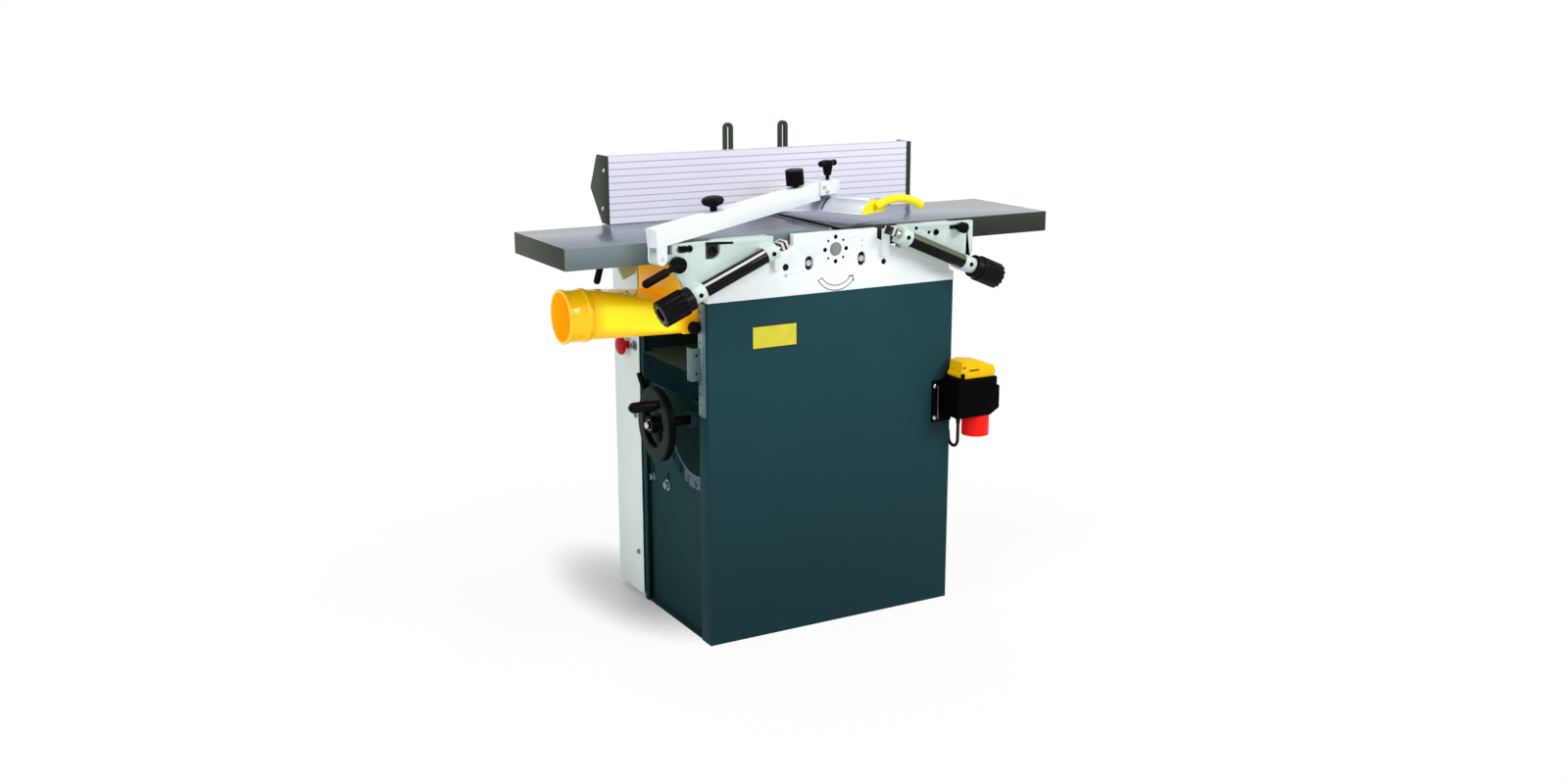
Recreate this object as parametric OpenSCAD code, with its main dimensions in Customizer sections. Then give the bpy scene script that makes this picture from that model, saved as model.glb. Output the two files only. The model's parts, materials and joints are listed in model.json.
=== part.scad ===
// Combination planer thicknesser: two sliding planing tables over a cutterblock, a thicknessing
// table under it, a fence, a bridge guard, a dust hood and a sheet-metal cabinet with its drive.
// Millimetres, +Z up, +X along the feed. The origin is on the floor, under the middle of the cutterblock.

/* [Tables] */
// Height of the planing tables above the floor
table_h = 810; // [800:1:860]
// Width of the planing tables
table_w = 255; // [240:1:270]
// Length of the infeed table, on the left
infeed_len = 527; // [480:1:600]
// Length of the outfeed table, on the right
outfeed_len = 510; // [480:1:600]
// Depth of the rim round each planing table
table_rim = 41; // [36:1:46]
// Thickness of the planing tables' plates
table_skin = 14; // [10:1:18]
// Thickness of the casting ribs
rib_t = 10; // [6:1:14]
// Angle of the ways that the planing tables slide on
way_angle = 23; // [22:0.5:25]
// Running gap between a sliding pad and its way
way_gap = 0.25; // [0.2:0.05:0.4]
// Distance from the cutter axis to the infeed lip
infeed_lip = 30; // [28:1:36]
// Distance from the cutter axis to the outfeed lip
outfeed_lip = 20; // [20:1:24]

/* [Cutterblock] */
// Radius that the knife edges run on
knife_r = 39; // [37:0.5:41]
// Radius of the cutterblock body
block_r = 36; // [33:0.5:36]
// Radius of the cutterblock journals
journal_r = 12; // [10:0.5:14]
// Distance of the feed rollers from the cutter axis
roller_x = 60; // [58:1:66]
// Radius of the feed rollers
roller_r = 17; // [14:0.5:17]

/* [Cabinet] */
// Length of the cabinet
cab_len = 564; // [540:2:600]
// Distance from the planing tables' front edge to the front panel's face
front_gap = 17.5; // [16:0.5:24]
// Distance from the planing tables' back edge to the rear panel's face
back_gap = 33.5; // [32:0.5:44]
// Drop from the planing tables to the top of the cabinet panels
deck_drop = 122; // [118:1:126]
// Thickness of the cabinet sheet
sheet_t = 3; // [2:0.5:4]
// Width of the front and rear panels' return flanges
flange_w = 40; // [30:1:50]
// Gap from the end panels' top edge to the thicknessing table
end_gap = 14; // [12:1:18]
// Set-back of the end panels
end_recess = 14; // [8:1:20]
// Thickness of the base plate
base_t = 4; // [3:0.5:6]
// Depth of the drive cover behind the cabinet
cover_depth = 124; // [115:1:140]
// Drop from the planing tables to the drive cover's shoulder
cover_drop = 65; // [62:1:75]
// Thickness of the cast side cheeks
cheek_t = 14; // [12:1:15]
// Distance between the floor bolt holes along the machine
floor_hole_x = 440; // [380:5:460]
// Distance between the floor bolt holes across the machine
floor_hole_y = 200; // [160:5:220]
// Diameter of the floor bolt holes
floor_hole_d = 12; // [9:0.5:14]

/* [Thicknessing table] */
// Height of the thicknessing table above the floor
thick_h = 552; // [545:1:560]
// Length of the thicknessing table
thick_len = 606; // [580:2:620]
// Width of the thicknessing table
thick_w = 246; // [230:2:250]
// Depth of its ribbed casting
thick_rim = 54; // [48:1:60]
// Drop from the end panels' top edge to the handwheel shaft
wheel_drop = 39; // [36:1:42]
// Distance of the handwheel shaft in front of the centre line
wheel_y = 60; // [58:1:66]
// Diameter of the handwheel
wheel_d = 146; // [120:1:160]
// Distance from the end panel to the handwheel's rim
wheel_reach = 84; // [70:1:100]

/* [Fence and guard] */
// Length of the fence
fence_len = 709; // [600:1:800]
// Height of the fence
fence_h = 134; // [110:1:150]
// Distance that the fence's face stands inside the planing tables' back edge
fence_in = 1.5; // [0:0.5:5]
// Width of the arched guard
guard_w = 84; // [76:1:92]
// Height of the guard's arch
guard_rise = 26; // [22:1:28]
// Length of the guard
guard_len = 236; // [210:1:245]
// Height of the guard's crown above the tables
guard_crown = 50; // [46:1:54]

/* [Dust hood] */
// Outer diameter of the dust spigot
spigot_d = 100; // [90:1:104]
// Wall of the dust hood
hood_wall = 3; // [2.5:0.5:4]
// Drop from the top of the cabinet panels to the spigot's axis
spigot_drop = 27; // [24:1:30]
// Distance from the cutter axis to the spigot's mouth
spigot_x = 518; // [500:1:530]
// Gap between the thicknessing table and the hood's floor
hood_gap = 74; // [70:1:80]

/* [Hidden] */
$fn = 64;

// Clearances: a running shaft, and two faces that move past each other
run_gap = 0.06;
move_gap = 0.4;

// Places worked out from the driving sizes
half_w = table_w / 2;
half_cab = cab_len / 2;
panel_h = table_h - deck_drop;
cab_front = half_w + front_gap;
cab_back = half_w + back_gap;
end_panel_h = thick_h - thick_rim - end_gap;
wheel_z = end_panel_h - wheel_drop;
cutter_z = table_h - knife_r;
cheek_y = cab_front - cheek_t;
cheek_top = table_h - 4;
cheek_lip = 18;
step_x = 95;
end_x = half_cab - end_recess;
cover_y = cab_back + cover_depth;
roller_z = cutter_z - knife_r + roller_r - 1;

// Height of the inclined way at a distance from the cutter axis
function way_z(x) = panel_h + cheek_lip + (half_cab - abs(x)) * tan(way_angle);

// Outline in the X-Z plane, drawn out from y0 to y1
module along_y(y0, y1) {
  translate([0, y1, 0])
    rotate([90, 0, 0])
      linear_extrude(y1 - y0)
        children();
}

// Rod along Y from y0 to y1
module rod_y(x, z, r, y0, y1) {
  translate([x, y0, z])
    rotate([-90, 0, 0])
      cylinder(r = r, h = y1 - y0);
}

// Rod along X from x0 to x1
module rod_x(y, z, r, x0, x1) {
  translate([x0, y, z])
    rotate([0, 90, 0])
      cylinder(r = r, h = x1 - x0);
}

// Block between two corners
module block(a, b) {
  translate(a)
    cube(b - a);
}

// Upright oblong slot for cutting, w wide and h tall over all
module oblong(x, z, w, h, y0, y1) {
  rod_y(x, z - (h - w) / 2, w / 2, y0, y1);
  rod_y(x, z + (h - w) / 2, w / 2, y0, y1);
  block([x - w / 2, y0, z - (h - w) / 2], [x + w / 2, y1, z + (h - w) / 2]);
}

// Both mirror halves of a shape
module both_x() {
  children();
  mirror([1, 0, 0])
    children();
}

// Cabinet of folded sheet

module base_plate() {
  color("#2a474d")
    difference() {
      block([-half_cab + sheet_t, -cab_front + sheet_t, 0], [half_cab - sheet_t, cab_back - sheet_t, base_t]);
      for (x = [-1, 1], y = [-1, 1])
        translate([x * floor_hole_x / 2, y * floor_hole_y / 2, -1])
          cylinder(d = floor_hole_d, h = base_t + 2);
    }
}

deck_flange = cheek_t + 10;
motor_x = 140;
motor_z = 205;
feed_z = panel_h - 48;
feed_shaft_r = 8;
motor_hole_r = 30;

module front_panel() {
  color("#28464d") {
    block([-half_cab, -cab_front, 0], [half_cab, -cab_front + sheet_t, panel_h]);
    block([-half_cab, -cab_front, panel_h - sheet_t], [half_cab, -cab_front + deck_flange, panel_h]);
    both_x()
      block([-half_cab, -cab_front, 0], [-half_cab + sheet_t, -cab_front + flange_w, panel_h]);
  }
}

rear_flange = 16;

module rear_panel() {
  color("#28464d")
    difference() {
      union() {
        block([-half_cab, cab_back - sheet_t, 0], [half_cab, cab_back, panel_h]);
        block([-half_cab, cheek_y - 10, panel_h - sheet_t], [half_cab, cab_back, panel_h]);
        both_x()
          block([-half_cab, cab_back - rear_flange, 0], [-half_cab + sheet_t, cab_back, panel_h]);
      }
      rod_y(motor_x, motor_z, motor_hole_r, cab_back - sheet_t - 1, cab_back + 1);
      rod_y(0, feed_z, feed_shaft_r + run_gap, cab_back - sheet_t - 1, cab_back + 1);
    }
}

shaft_r = 9;
boss_r = 17;
panel_bolt_z = wheel_z - 170;
panel_bolts_y = [cab_back - 21, cab_back - 92];

module end_sheet() {
  block([-end_x, -cab_front + sheet_t, base_t], [-end_x + sheet_t, cab_back - sheet_t, end_panel_h]);
  block([-end_x, -cab_front + sheet_t, end_panel_h - sheet_t], [-end_x + 18, cab_back - sheet_t, end_panel_h]);
}

module left_end_panel() {
  color("#2b4a50")
    difference() {
      union() {
        end_sheet();
        rod_x(-wheel_y, wheel_z, boss_r, -half_cab, -end_x);
      }
      rod_x(-wheel_y, wheel_z, shaft_r + run_gap, -half_cab - 1, -end_x + 20);
      for (y = panel_bolts_y)
        block([-end_x - 1, y - 4, panel_bolt_z - 4], [-end_x + sheet_t + 1, y + 4, panel_bolt_z + 26]);
    }
}

module right_end_panel() {
  color("#2b4a50")
    mirror([1, 0, 0])
      end_sheet();
}

cover_t = 2;
cover_foot = 10;
tower_w = roller_x + 28;
tower_top = table_h - 7;
stop_y = cab_back + 52;
stop_z = panel_h - 143;
cover_h = table_h - cover_drop;
stop_stem_r = 8;

// Outline of the drive cover, drawn in by a wall thickness
module cover_outline(t) {
  w = half_cab + 4 - t;
  polygon([
    [-w, cover_foot + t], [w, cover_foot + t], [w, cover_h - t], [tower_w - t, cover_h - t],
    [tower_w - t, tower_top - t], [-tower_w + t, tower_top - t], [-tower_w + t, cover_h - t], [-w, cover_h - t]
  ]);
}

module drive_cover() {
  color("#d7e1de")
    difference() {
      along_y(cab_back, cover_y)
        cover_outline(0);
      along_y(cab_back - 1, cover_y - cover_t)
        cover_outline(cover_t);
      rod_x(stop_y, stop_z, stop_stem_r + run_gap, -half_cab - 10, -half_cab + 10);
    }
}

// Cast side cheeks that carry the cutterblock, the feed rollers and the ways of the tables

bearing_r = 26;
bearing_w = 9;
window_r = 13.5;
slot_w = 18;
slot_h = 28;
tie_x = 112;
tie_z = roller_z - 4;
tie_r = 7;
kick_z = roller_z - 10;
kick_r = 6;
bolt_ring_r = 24;

module cheek() {
  difference() {
    along_y(-cab_front, -cheek_y)
      polygon([
        [-half_cab, panel_h], [half_cab, panel_h], [half_cab, way_z(half_cab)], [step_x, way_z(step_x)],
        [step_x, cheek_top], [-step_x, cheek_top], [-step_x, way_z(step_x)], [-half_cab, way_z(half_cab)]
      ]);
    rod_y(0, cutter_z, window_r, -cab_front - 1, -cheek_y + 1);
    rod_y(0, cutter_z, bearing_r, -cheek_y - bearing_w, -cheek_y + 1);
    for (k = [0:3]) {
      rod_y(bolt_ring_r * sin(90 * k), cutter_z + bolt_ring_r * cos(90 * k), 4.5,
        -cab_front - 1, -cab_front + 3);
      rod_y(bolt_ring_r * sin(90 * k + 45), cutter_z + bolt_ring_r * cos(90 * k + 45), 2.5,
        -cab_front - 1, -cab_front + 3);
    }
    for (x = [-roller_x, roller_x])
      oblong(x, roller_z, slot_w, slot_h, -cab_front - 1, -cheek_y + 1);
    rod_y(-tie_x, tie_z, tie_r, -cab_front - 1, -cheek_y + 1);
    rod_y(tie_x, kick_z, kick_r, -cab_front - 1, -cheek_y + 1);
    rod_y(-tie_x, tie_z - 16, 4, -cab_front - 1, -cab_front + 5);
    rod_y(roller_x + 1, cutter_z + 2, 1.8, -cab_front - 1, -cab_front + 5);
    rod_y(roller_x + 1, cutter_z + 13, 1.8, -cab_front - 1, -cab_front + 5);
  }
}

module front_cheek() {
  color("#e8f0f2")
    cheek();
}

module rear_cheek() {
  color("#e8f0f2")
    mirror([0, 1, 0])
      cheek();
}

module cutter_bearing_rings() {
  color("silver")
    for (m = [0, 1])
      mirror([0, m, 0])
        difference() {
          rod_y(0, cutter_z, bearing_r, -cheek_y - bearing_w, -cheek_y);
          rod_y(0, cutter_z, journal_r + run_gap, -cheek_y - bearing_w - 1, -cheek_y + 1);
          difference() {
            rod_y(0, cutter_z, bearing_r - 4, -cheek_y - 1, -cheek_y + 1);
            rod_y(0, cutter_z, journal_r + 4, -cheek_y - 2, -cheek_y + 2);
          }
        }
}

stub_r = 6;
bush_depth = 7;

module roller_bush_blocks() {
  color("#4a4f52")
    for (m = [0, 1], x = [-roller_x, roller_x])
      mirror([0, m, 0])
        difference() {
          oblong(x, roller_z, slot_w, slot_h, -cab_front + bush_depth, -cheek_y);
          rod_y(x, roller_z, stub_r + run_gap, -cab_front, -cheek_y + 1);
        }
}

module tie_bars() {
  color("gray") {
    rod_y(-tie_x, tie_z, tie_r, -cab_front + 2, cab_front - 2);
    rod_y(tie_x, kick_z, kick_r, -cab_front + 2, cab_front - 2);
  }
}

module depth_strip() {
  color("#b8c4c8")
    block([-half_cab - 1.2, -cab_front + 9, panel_h - 224], [-half_cab, -cab_front + 38, panel_h - 3]);
}

dial_r = 146;
dial_t = 1.5;

module dial_disc() {
  color("#8f9a9c")
    difference() {
      intersection() {
        rod_x(-wheel_y, wheel_z, dial_r, -end_x - dial_t, -end_x);
        block([-end_x - 5, -cab_front + flange_w - 20, 0], [-end_x + 5, cab_back, end_panel_h - 8]);
      }
      rod_x(-wheel_y, wheel_z, boss_r, -end_x - 5, -end_x + 5);
    }
}

// Hex bolt with its washer, head towards -X
module end_bolt(x, y, z, r) {
  rod_x(y, z, r * 1.5, x - 2, x);
  translate([x - 2 - r * 0.8, y, z])
    rotate([0, 90, 0])
      cylinder(r = r, h = r * 0.8, $fn = 6);
}

module panel_bolts() {
  color("silver") {
    for (y = panel_bolts_y)
      end_bolt(-end_x, y, panel_bolt_z, 8);
    for (z = [100, 400])
      end_bolt(-half_cab - 4, cab_back + 20, z, 4);
    end_bolt(-half_cab - 4, cab_back + 18, stop_z + 4, 7);
  }
}

// Lift of the thicknessing table: bevel nut on a fixed housing, screw and posts under the table

thick_skin = 12;
screw_r = 10;
post_r = 14;
post_x = 150;
post_y = 60;
pitch_r = 24;
gear_face = 10;
gear_teeth = 16;
gear_z = wheel_z - pitch_r;
housing_top = gear_z - 9;
housing_y = 105;
housing_x = end_x - sheet_t;
pinion_block_x = 60;

module lift_housing() {
  color("#4b5254")
    difference() {
      union() {
        difference() {
          block([-housing_x, -housing_y, housing_top - 32], [housing_x, housing_y, housing_top]);
          block([-housing_x + 12, -housing_y + 12, housing_top - 33],
            [housing_x - 12, housing_y - 12, housing_top - 12]);
        }
        for (x = [-post_x, post_x])
          translate([x, post_y, housing_top - 45])
            cylinder(r = post_r + 10, h = 45);
        block([-pinion_block_x - 10, -wheel_y - 20, housing_top],
          [-pinion_block_x + 10, -wheel_y + 20, wheel_z + 18]);
      }
      for (x = [-post_x, post_x])
        translate([x, post_y, 0])
          cylinder(r = post_r + run_gap, h = table_h);
      translate([0, -wheel_y, 0])
        cylinder(r = screw_r + 4, h = table_h);
      rod_x(-wheel_y, wheel_z, shaft_r + run_gap, -pinion_block_x - 20, -pinion_block_x + 20);
    }
}

// Toothed outline with narrow teeth, so that a pair runs with play
module tooth_ring(n, root, tip, share) {
  circle(r = root);
  for (k = [0:n - 1])
    rotate(360 * k / n)
      polygon([
        [root * 0.9, -root * sin(share)], [root * 0.9, root * sin(share)],
        [tip, tip * sin(share * 0.6)], [tip, -tip * sin(share * 0.6)]
      ]);
}

// Mitre bevel gear on its own axis, its large end at -pitch_r and its teeth running to the apex
module bevel_gear() {
  translate([0, 0, -pitch_r])
    linear_extrude(gear_face, scale = (pitch_r - gear_face) / pitch_r)
      tooth_ring(gear_teeth, pitch_r - 2.5, pitch_r + 1.5, 4.2, $fn = 32);
}

module nut_gear() {
  color("#8a8f90")
    translate([0, -wheel_y, wheel_z])
      difference() {
        union() {
          rotate(180 / gear_teeth)
            bevel_gear();
          translate([0, 0, housing_top + move_gap - wheel_z])
            cylinder(r = 20, h = gear_z - housing_top - move_gap + 1);
        }
        translate([0, 0, -40])
          cylinder(r = screw_r + run_gap, h = 40);
      }
}

wheel_x = -end_x - wheel_reach;
shaft_end = wheel_x - 20;

module wheel_shaft() {
  color("silver") {
    rod_x(-wheel_y, wheel_z, shaft_r, shaft_end, -pitch_r + gear_face);
    translate([0, -wheel_y, wheel_z])
      rotate([0, 90, 0])
        bevel_gear();
  }
}

rim_w = 30;
rim_in = wheel_d / 2 - rim_w;
hub_r = 17;
crank_r = 52;
crank_angle = 30;
crank_y = -wheel_y - crank_r * sin(crank_angle);
crank_z = wheel_z + crank_r * cos(crank_angle);
pin_r = 5;
grip_len = 56;

module handwheel() {
  color("#1d1f20")
    difference() {
      union() {
        translate([wheel_x, -wheel_y, wheel_z])
          rotate([0, 90, 0])
            rotate_extrude()
              translate([rim_in, 0])
                polygon([
                  [0, -2], [3, -7], [rim_w - 4, -7], [rim_w, -3], [rim_w, 6],
                  [rim_w - 3, 9], [rim_w - 11, 9], [7, 4], [0, 4]
                ]);
        rod_x(-wheel_y, wheel_z, hub_r, wheel_x - 14, wheel_x + 22);
        for (a = [0, 120, 240])
          translate([wheel_x, -wheel_y, wheel_z])
            rotate([a + crank_angle, 0, 0])
              block([-4, -9, hub_r - 4], [5, 9, rim_in + 4]);
        rod_x(crank_y, crank_z, 11, wheel_x - 8, wheel_x + 4);
        rod_x(crank_y, crank_z, pin_r, wheel_x - 12 - grip_len, wheel_x);
      }
      rod_x(-wheel_y, wheel_z, shaft_r, wheel_x - 30, wheel_x + 30);
    }
}

module crank_grip() {
  color("#151617")
    translate([wheel_x - 8.4, crank_y, crank_z])
      rotate([0, -90, 0])
        rotate_extrude()
          polygon([
            [pin_r + run_gap, 0], [8, 0], [9, 3], [11, grip_len * 0.45], [10.4, grip_len - 4],
            [9, grip_len], [pin_r + run_gap, grip_len]
          ]);
}

module thickness_table() {
  x1 = thick_len / 2;
  y1 = thick_w / 2;
  z0 = thick_h - thick_rim;
  notch_x = half_cab - sheet_t - 4;
  notch_y = cab_front - flange_w - 2;
  color("#5d6a70")
    difference() {
      block([-x1, -y1, z0], [x1, y1, thick_h]);
      for (x = [-1, 1], y = [-1, 1])
        translate([x * (notch_x + 50), y * (notch_y + 50), z0 + thick_rim / 2])
          cube([100, 100, thick_rim + 2], center = true);
      for (y = [-1, 1]) {
        translate([0, y * y1 / 2, z0])
          cube([190, y1 - 2 * rib_t, 2 * (thick_rim - thick_skin)], center = true);
        for (x = [-1, 1])
          translate([x * (95 + rib_t + (x1 - 105 - rib_t) / 2), y * notch_y / 2, z0])
            cube([x1 - 105 - rib_t, notch_y - 2 * rib_t, 2 * (thick_rim - thick_skin)], center = true);
      }
    }
}

column_z = housing_top - 92;
column_h = thick_h - thick_skin - column_z;

module lift_screw_rod() {
  color("silver")
    translate([0, -wheel_y, column_z])
      cylinder(r = screw_r, h = column_h);
}

module guide_post_pair() {
  color("silver")
    for (x = [-post_x, post_x])
      translate([x, post_y, column_z])
        cylinder(r = post_r, h = column_h);
}

module scale_pointer() {
  x1 = thick_len / 2;
  y1 = cab_front - 23;
  color("#c9d0d2") {
    block([-x1 - 3, -y1, thick_h - 16], [-x1, -y1 + 18, thick_h + 48]);
    block([-x1 - 3, -y1, thick_h - 16], [-half_cab - 1.6, -y1 + 6, thick_h - 13]);
  }
}

// Cutterblock, feed rollers and kickback fingers

pulley_y = cab_back + 26;
pulley_w = 26;
cutter_pulley_r = 23;
motor_pulley_r = 52;
motor_shaft_r = 12;
knife_len = 2 * cheek_y - 14;

// Cutter for one knife seat: the knife and its clamping bar lie against each other
module knife_seat(y0, y1) {
  along_y(y0, y1)
    translate([block_r - 12, -1.5])
      square([20, 11]);
}

module cutter_block() {
  color("#9aa3a6")
    translate([0, 0, cutter_z]) {
      difference() {
        rod_y(0, 0, block_r, -knife_len / 2, knife_len / 2);
        for (a = [90, 210, 330])
          rotate([0, -a, 0])
            knife_seat(-knife_len, knife_len);
      }
      rod_y(0, 0, journal_r, -cab_front + 2, -knife_len / 2);
      rod_y(0, 0, journal_r, knife_len / 2, pulley_y + pulley_w);
    }
}

module cutter_knives() {
  color("#c7cdd0")
    translate([0, 0, cutter_z])
      for (a = [90, 210, 330])
        rotate([0, -a, 0])
          along_y(-knife_len / 2, knife_len / 2) {
            translate([block_r - 12, -1.5])
              square([knife_r - block_r + 12, 3]);
            translate([block_r - 12, 1.5])
              polygon([[0, 0], [11, 0], [9.5, 8], [0, 8]]);
          }
}

// Grooved belt pulley along Y with its bore left open
module pulley(x, z, r, bore) {
  pitch = pulley_w / 4;
  translate([x, pulley_y, z])
    rotate([-90, 0, 0])
      rotate_extrude()
        polygon(concat(
          [[bore, 0], [r, 0]],
          [for (k = [0:2], p = [[r, 0.5], [r - 3, 0.8], [r - 3, 1.2], [r, 1.5]]) [p[0], pitch * (k + p[1])]],
          [[r, pulley_w], [bore, pulley_w]]
        ));
}

module cutter_pulley() {
  color("#70777a")
    pulley(0, cutter_z, cutter_pulley_r, journal_r);
}

module motor_pulley() {
  color("#70777a") {
    pulley(motor_x, motor_z, motor_pulley_r, 0);
    rod_y(motor_x, motor_z, motor_shaft_r, 98, pulley_y);
  }
}

sprocket_r = 18;
chain_y = [cab_back + 4, cab_back + 11];
chain_w = 5;

module sprocket(x, z, y) {
  translate([0, 0, z])
    along_y(y, y + chain_w)
      translate([x, 0])
        tooth_ring(14, sprocket_r - 3, sprocket_r, 5);
}

module feed_roller(x, y_chain) {
  rod_y(x, roller_z, roller_r, -cheek_y + 6, cheek_y - 6);
  rod_y(x, roller_z, stub_r, -cab_front + 2, y_chain + chain_w);
  sprocket(x, roller_z, y_chain);
}

module infeed_roller() {
  color("#a9b0b2")
    feed_roller(roller_x, chain_y[0]);
}

module outfeed_roller() {
  color("#a9b0b2")
    feed_roller(-roller_x, chain_y[1]);
}

module feed_sprocket() {
  color("#70777a") {
    rod_y(0, feed_z, feed_shaft_r, cab_back - 12, chain_y[1] + chain_w);
    rod_y(0, feed_z, feed_shaft_r + 6, cab_back + move_gap, chain_y[0]);
    for (y = chain_y)
      sprocket(0, feed_z, y);
  }
}

// Closed loop of belt or chain round two wheels
module loop(a, ra, b, rb, t, y0, y1) {
  along_y(y0, y1)
    difference() {
      hull() {
        translate(a) circle(r = ra + t, $fn = 32);
        translate(b) circle(r = rb + t, $fn = 32);
      }
      hull() {
        translate(a) circle(r = ra, $fn = 32);
        translate(b) circle(r = rb, $fn = 32);
      }
    }
}

module drive_belt() {
  color("#1b1c1d")
    loop([0, cutter_z], cutter_pulley_r + 0.6, [motor_x, motor_z], motor_pulley_r + 0.6, 5,
      pulley_y + 3, pulley_y + pulley_w - 3);
}

module feed_chain() {
  color("#5c6062")
    for (k = [0, 1])
      loop([0, feed_z], sprocket_r + 0.6, [k == 0 ? roller_x : -roller_x, roller_z], sprocket_r + 0.6, 4,
        chain_y[k], chain_y[k] + chain_w);
}

finger_count = 14;
finger_pitch = 17;
finger_t = 8;

module kickback_fingers() {
  color("#3a3d3f")
    for (k = [0:finger_count - 1]) {
      y = (k - (finger_count - 1) / 2) * finger_pitch;
      difference() {
        union() {
          rod_y(tie_x, kick_z, 13, y - finger_t / 2, y + finger_t / 2);
          along_y(y - finger_t / 2, y + finger_t / 2)
            polygon([
              [tie_x - 12, kick_z - 2], [tie_x + 8, kick_z - 10],
              [tie_x - 10, kick_z - 40], [tie_x - 20, kick_z - 36]
            ]);
        }
        rod_y(tie_x, kick_z, kick_r + run_gap, y - finger_t, y + finger_t);
      }
    }
}

// Motor on its bracket, inside the cabinet

motor_r = 68;

module motor() {
  color("#59636b")
    difference() {
      union() {
        rod_y(motor_x, motor_z, motor_r, -58, 112);
        rod_y(motor_x, motor_z, motor_r - 6, -80, -58);
        rod_y(motor_x, motor_z, motor_r - 18, 112, 118);
        for (a = [20:20:340])
          translate([motor_x, 0, motor_z])
            rotate([0, a, 0])
              block([-1.5, -50, motor_r - 4], [1.5, 104, motor_r + 8]);
        block([motor_x - 62, -30, motor_z - 82], [motor_x + 62, 84, motor_z - 60]);
        block([motor_x - 45, -20, motor_z - 70], [motor_x + 45, 70, motor_z]);
      }
      rod_y(motor_x, motor_z, motor_shaft_r + run_gap, 96, 120);
    }
}

module motor_mount() {
  x1 = end_x - sheet_t;
  z1 = motor_z - 82;
  color("#3d4447") {
    block([motor_x - 75, -60, z1 - 8], [x1, 110, z1]);
    block([x1 - 6, -60, z1 - 8], [x1, 110, z1 + 70]);
  }
}

// Planing tables with their slotted lips and ribbed undersides

relief_r = knife_r + 3;
relief_angle = 40;
lip_pitch = 12;
lip_slot = 4;
pocket_count = 4;

// Distance from the cutter axis to the plane that relieves the lips, at a height
function relief_x(z) = (relief_r - (z - cutter_z) * cos(relief_angle)) / sin(relief_angle);

// Casting from x0 to x1 whose end at lip_x faces the cutterblock
module planing_table(x0, x1, lip_x, toward) {
  z0 = table_h - table_rim;
  inner = lip_x + toward * 45;
  outer = lip_x == x0 ? x1 : x0;
  pocket_len = (abs(outer - inner) - rib_t) / pocket_count - rib_t;
  pocket_w = half_w - 1.5 * rib_t;
  difference() {
    block([x0, -half_w, z0], [x1, half_w, table_h]);
    along_y(-half_w - 1, half_w + 1)
      polygon([
        [0, z0 - 1], [toward * relief_x(z0 - 1), z0 - 1],
        [toward * relief_x(table_h + 1), table_h + 1], [0, table_h + 1]
      ]);
    for (k = [0:pocket_count - 1], y = [-1, 1])
      translate([inner + toward * (pocket_len + rib_t) * (k + 0.5), y * (rib_t + pocket_w) / 2, z0])
        translate([toward * rib_t / 2, 0, 0])
          cube([pocket_len, pocket_w, 2 * (table_rim - table_skin)], center = true);
    for (y = [-half_w + lip_pitch:lip_pitch:half_w - lip_pitch + 1])
      translate([lip_x, y, table_h])
        cube([24, lip_slot, 2 * table_skin], center = true);
  }
}

module left_table() {
  color("#8b98a0")
    planing_table(-infeed_lip - infeed_len, -infeed_lip, -infeed_lip, -1);
}

module right_table() {
  color("#8b98a0")
    planing_table(outfeed_lip, outfeed_lip + outfeed_len, outfeed_lip, 1);
}

// Brackets that hang the tables on the inclined ways, and the depth adjusters in front of them

plate_t = 11;
plate_y = cab_front + 1;
bracket_top = table_h - 2;
adj_x = 226;
adj_y = plate_y + plate_t + 17;
adj_z = way_z(adj_x) + 23;
lug_low = [-112, -84];
lug_high = [57, 81];
lug_h = 16;
shank_r = 8;
barrel_r = 14.5;
tip_r = 6;
nut_u = [92, 107];
nut_h = 8;
right_shift = 24;

// Point at a place up the left adjuster's axis and at a distance square to it
function on_slope(u, v) = [
  -adj_x + u * cos(way_angle) - v * sin(way_angle), adj_z + u * sin(way_angle) + v * cos(way_angle)
];

// Local frame on the left adjuster's axis, +X up the slope, moved up it by a shift
module on_adjuster(shift) {
  translate([-adj_x, -adj_y, adj_z])
    rotate([0, -way_angle, 0])
      translate([shift, 0, 0])
        children();
}

// Outline of a bracket plate on the left, reaching out to outer_x, for an adjuster moved up by a shift
module bracket_outline(outer_x, shift) {
  inner_x = plate_in - shift * cos(way_angle);
  polygon([
    [-inner_x, bracket_top], [-outer_x, bracket_top], [-outer_x - 1, bracket_top - 48],
    on_slope(shift + lug_low[0], knob_r + 4), on_slope(shift + lug_low[0], -lug_h),
    on_slope(shift + lug_low[1], -lug_h),
    on_slope(shift + lug_low[1] + 14, -4), [-inner_x, on_slope(shift + lug_high[1], -4)[1]]
  ]);
}

plate_in = 146;
pad_x = [150, 270];

// Pad that slides on the way, drawn from the plate to the table's edge
module way_pad() {
  along_y(-plate_y - 1, -half_w)
    polygon([
      [-pad_x[0], bracket_top], [-pad_x[1], bracket_top],
      [-pad_x[1], way_z(pad_x[1]) + way_gap / cos(way_angle)],
      [-pad_x[0], way_z(pad_x[0]) + way_gap / cos(way_angle)]
    ]);
}

module adjuster_lugs(shift) {
  on_adjuster(shift)
    for (u = [lug_low, lug_high])
      difference() {
        union() {
          rod_x(0, 0, lug_h, u[0], u[1]);
          block([u[0], 0, -lug_h], [u[1], adj_y - plate_y - plate_t + 2, lug_h]);
        }
        rod_x(0, 0, shank_r + run_gap, u[0] - 1, u[1] + 1);
      }
}

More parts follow.
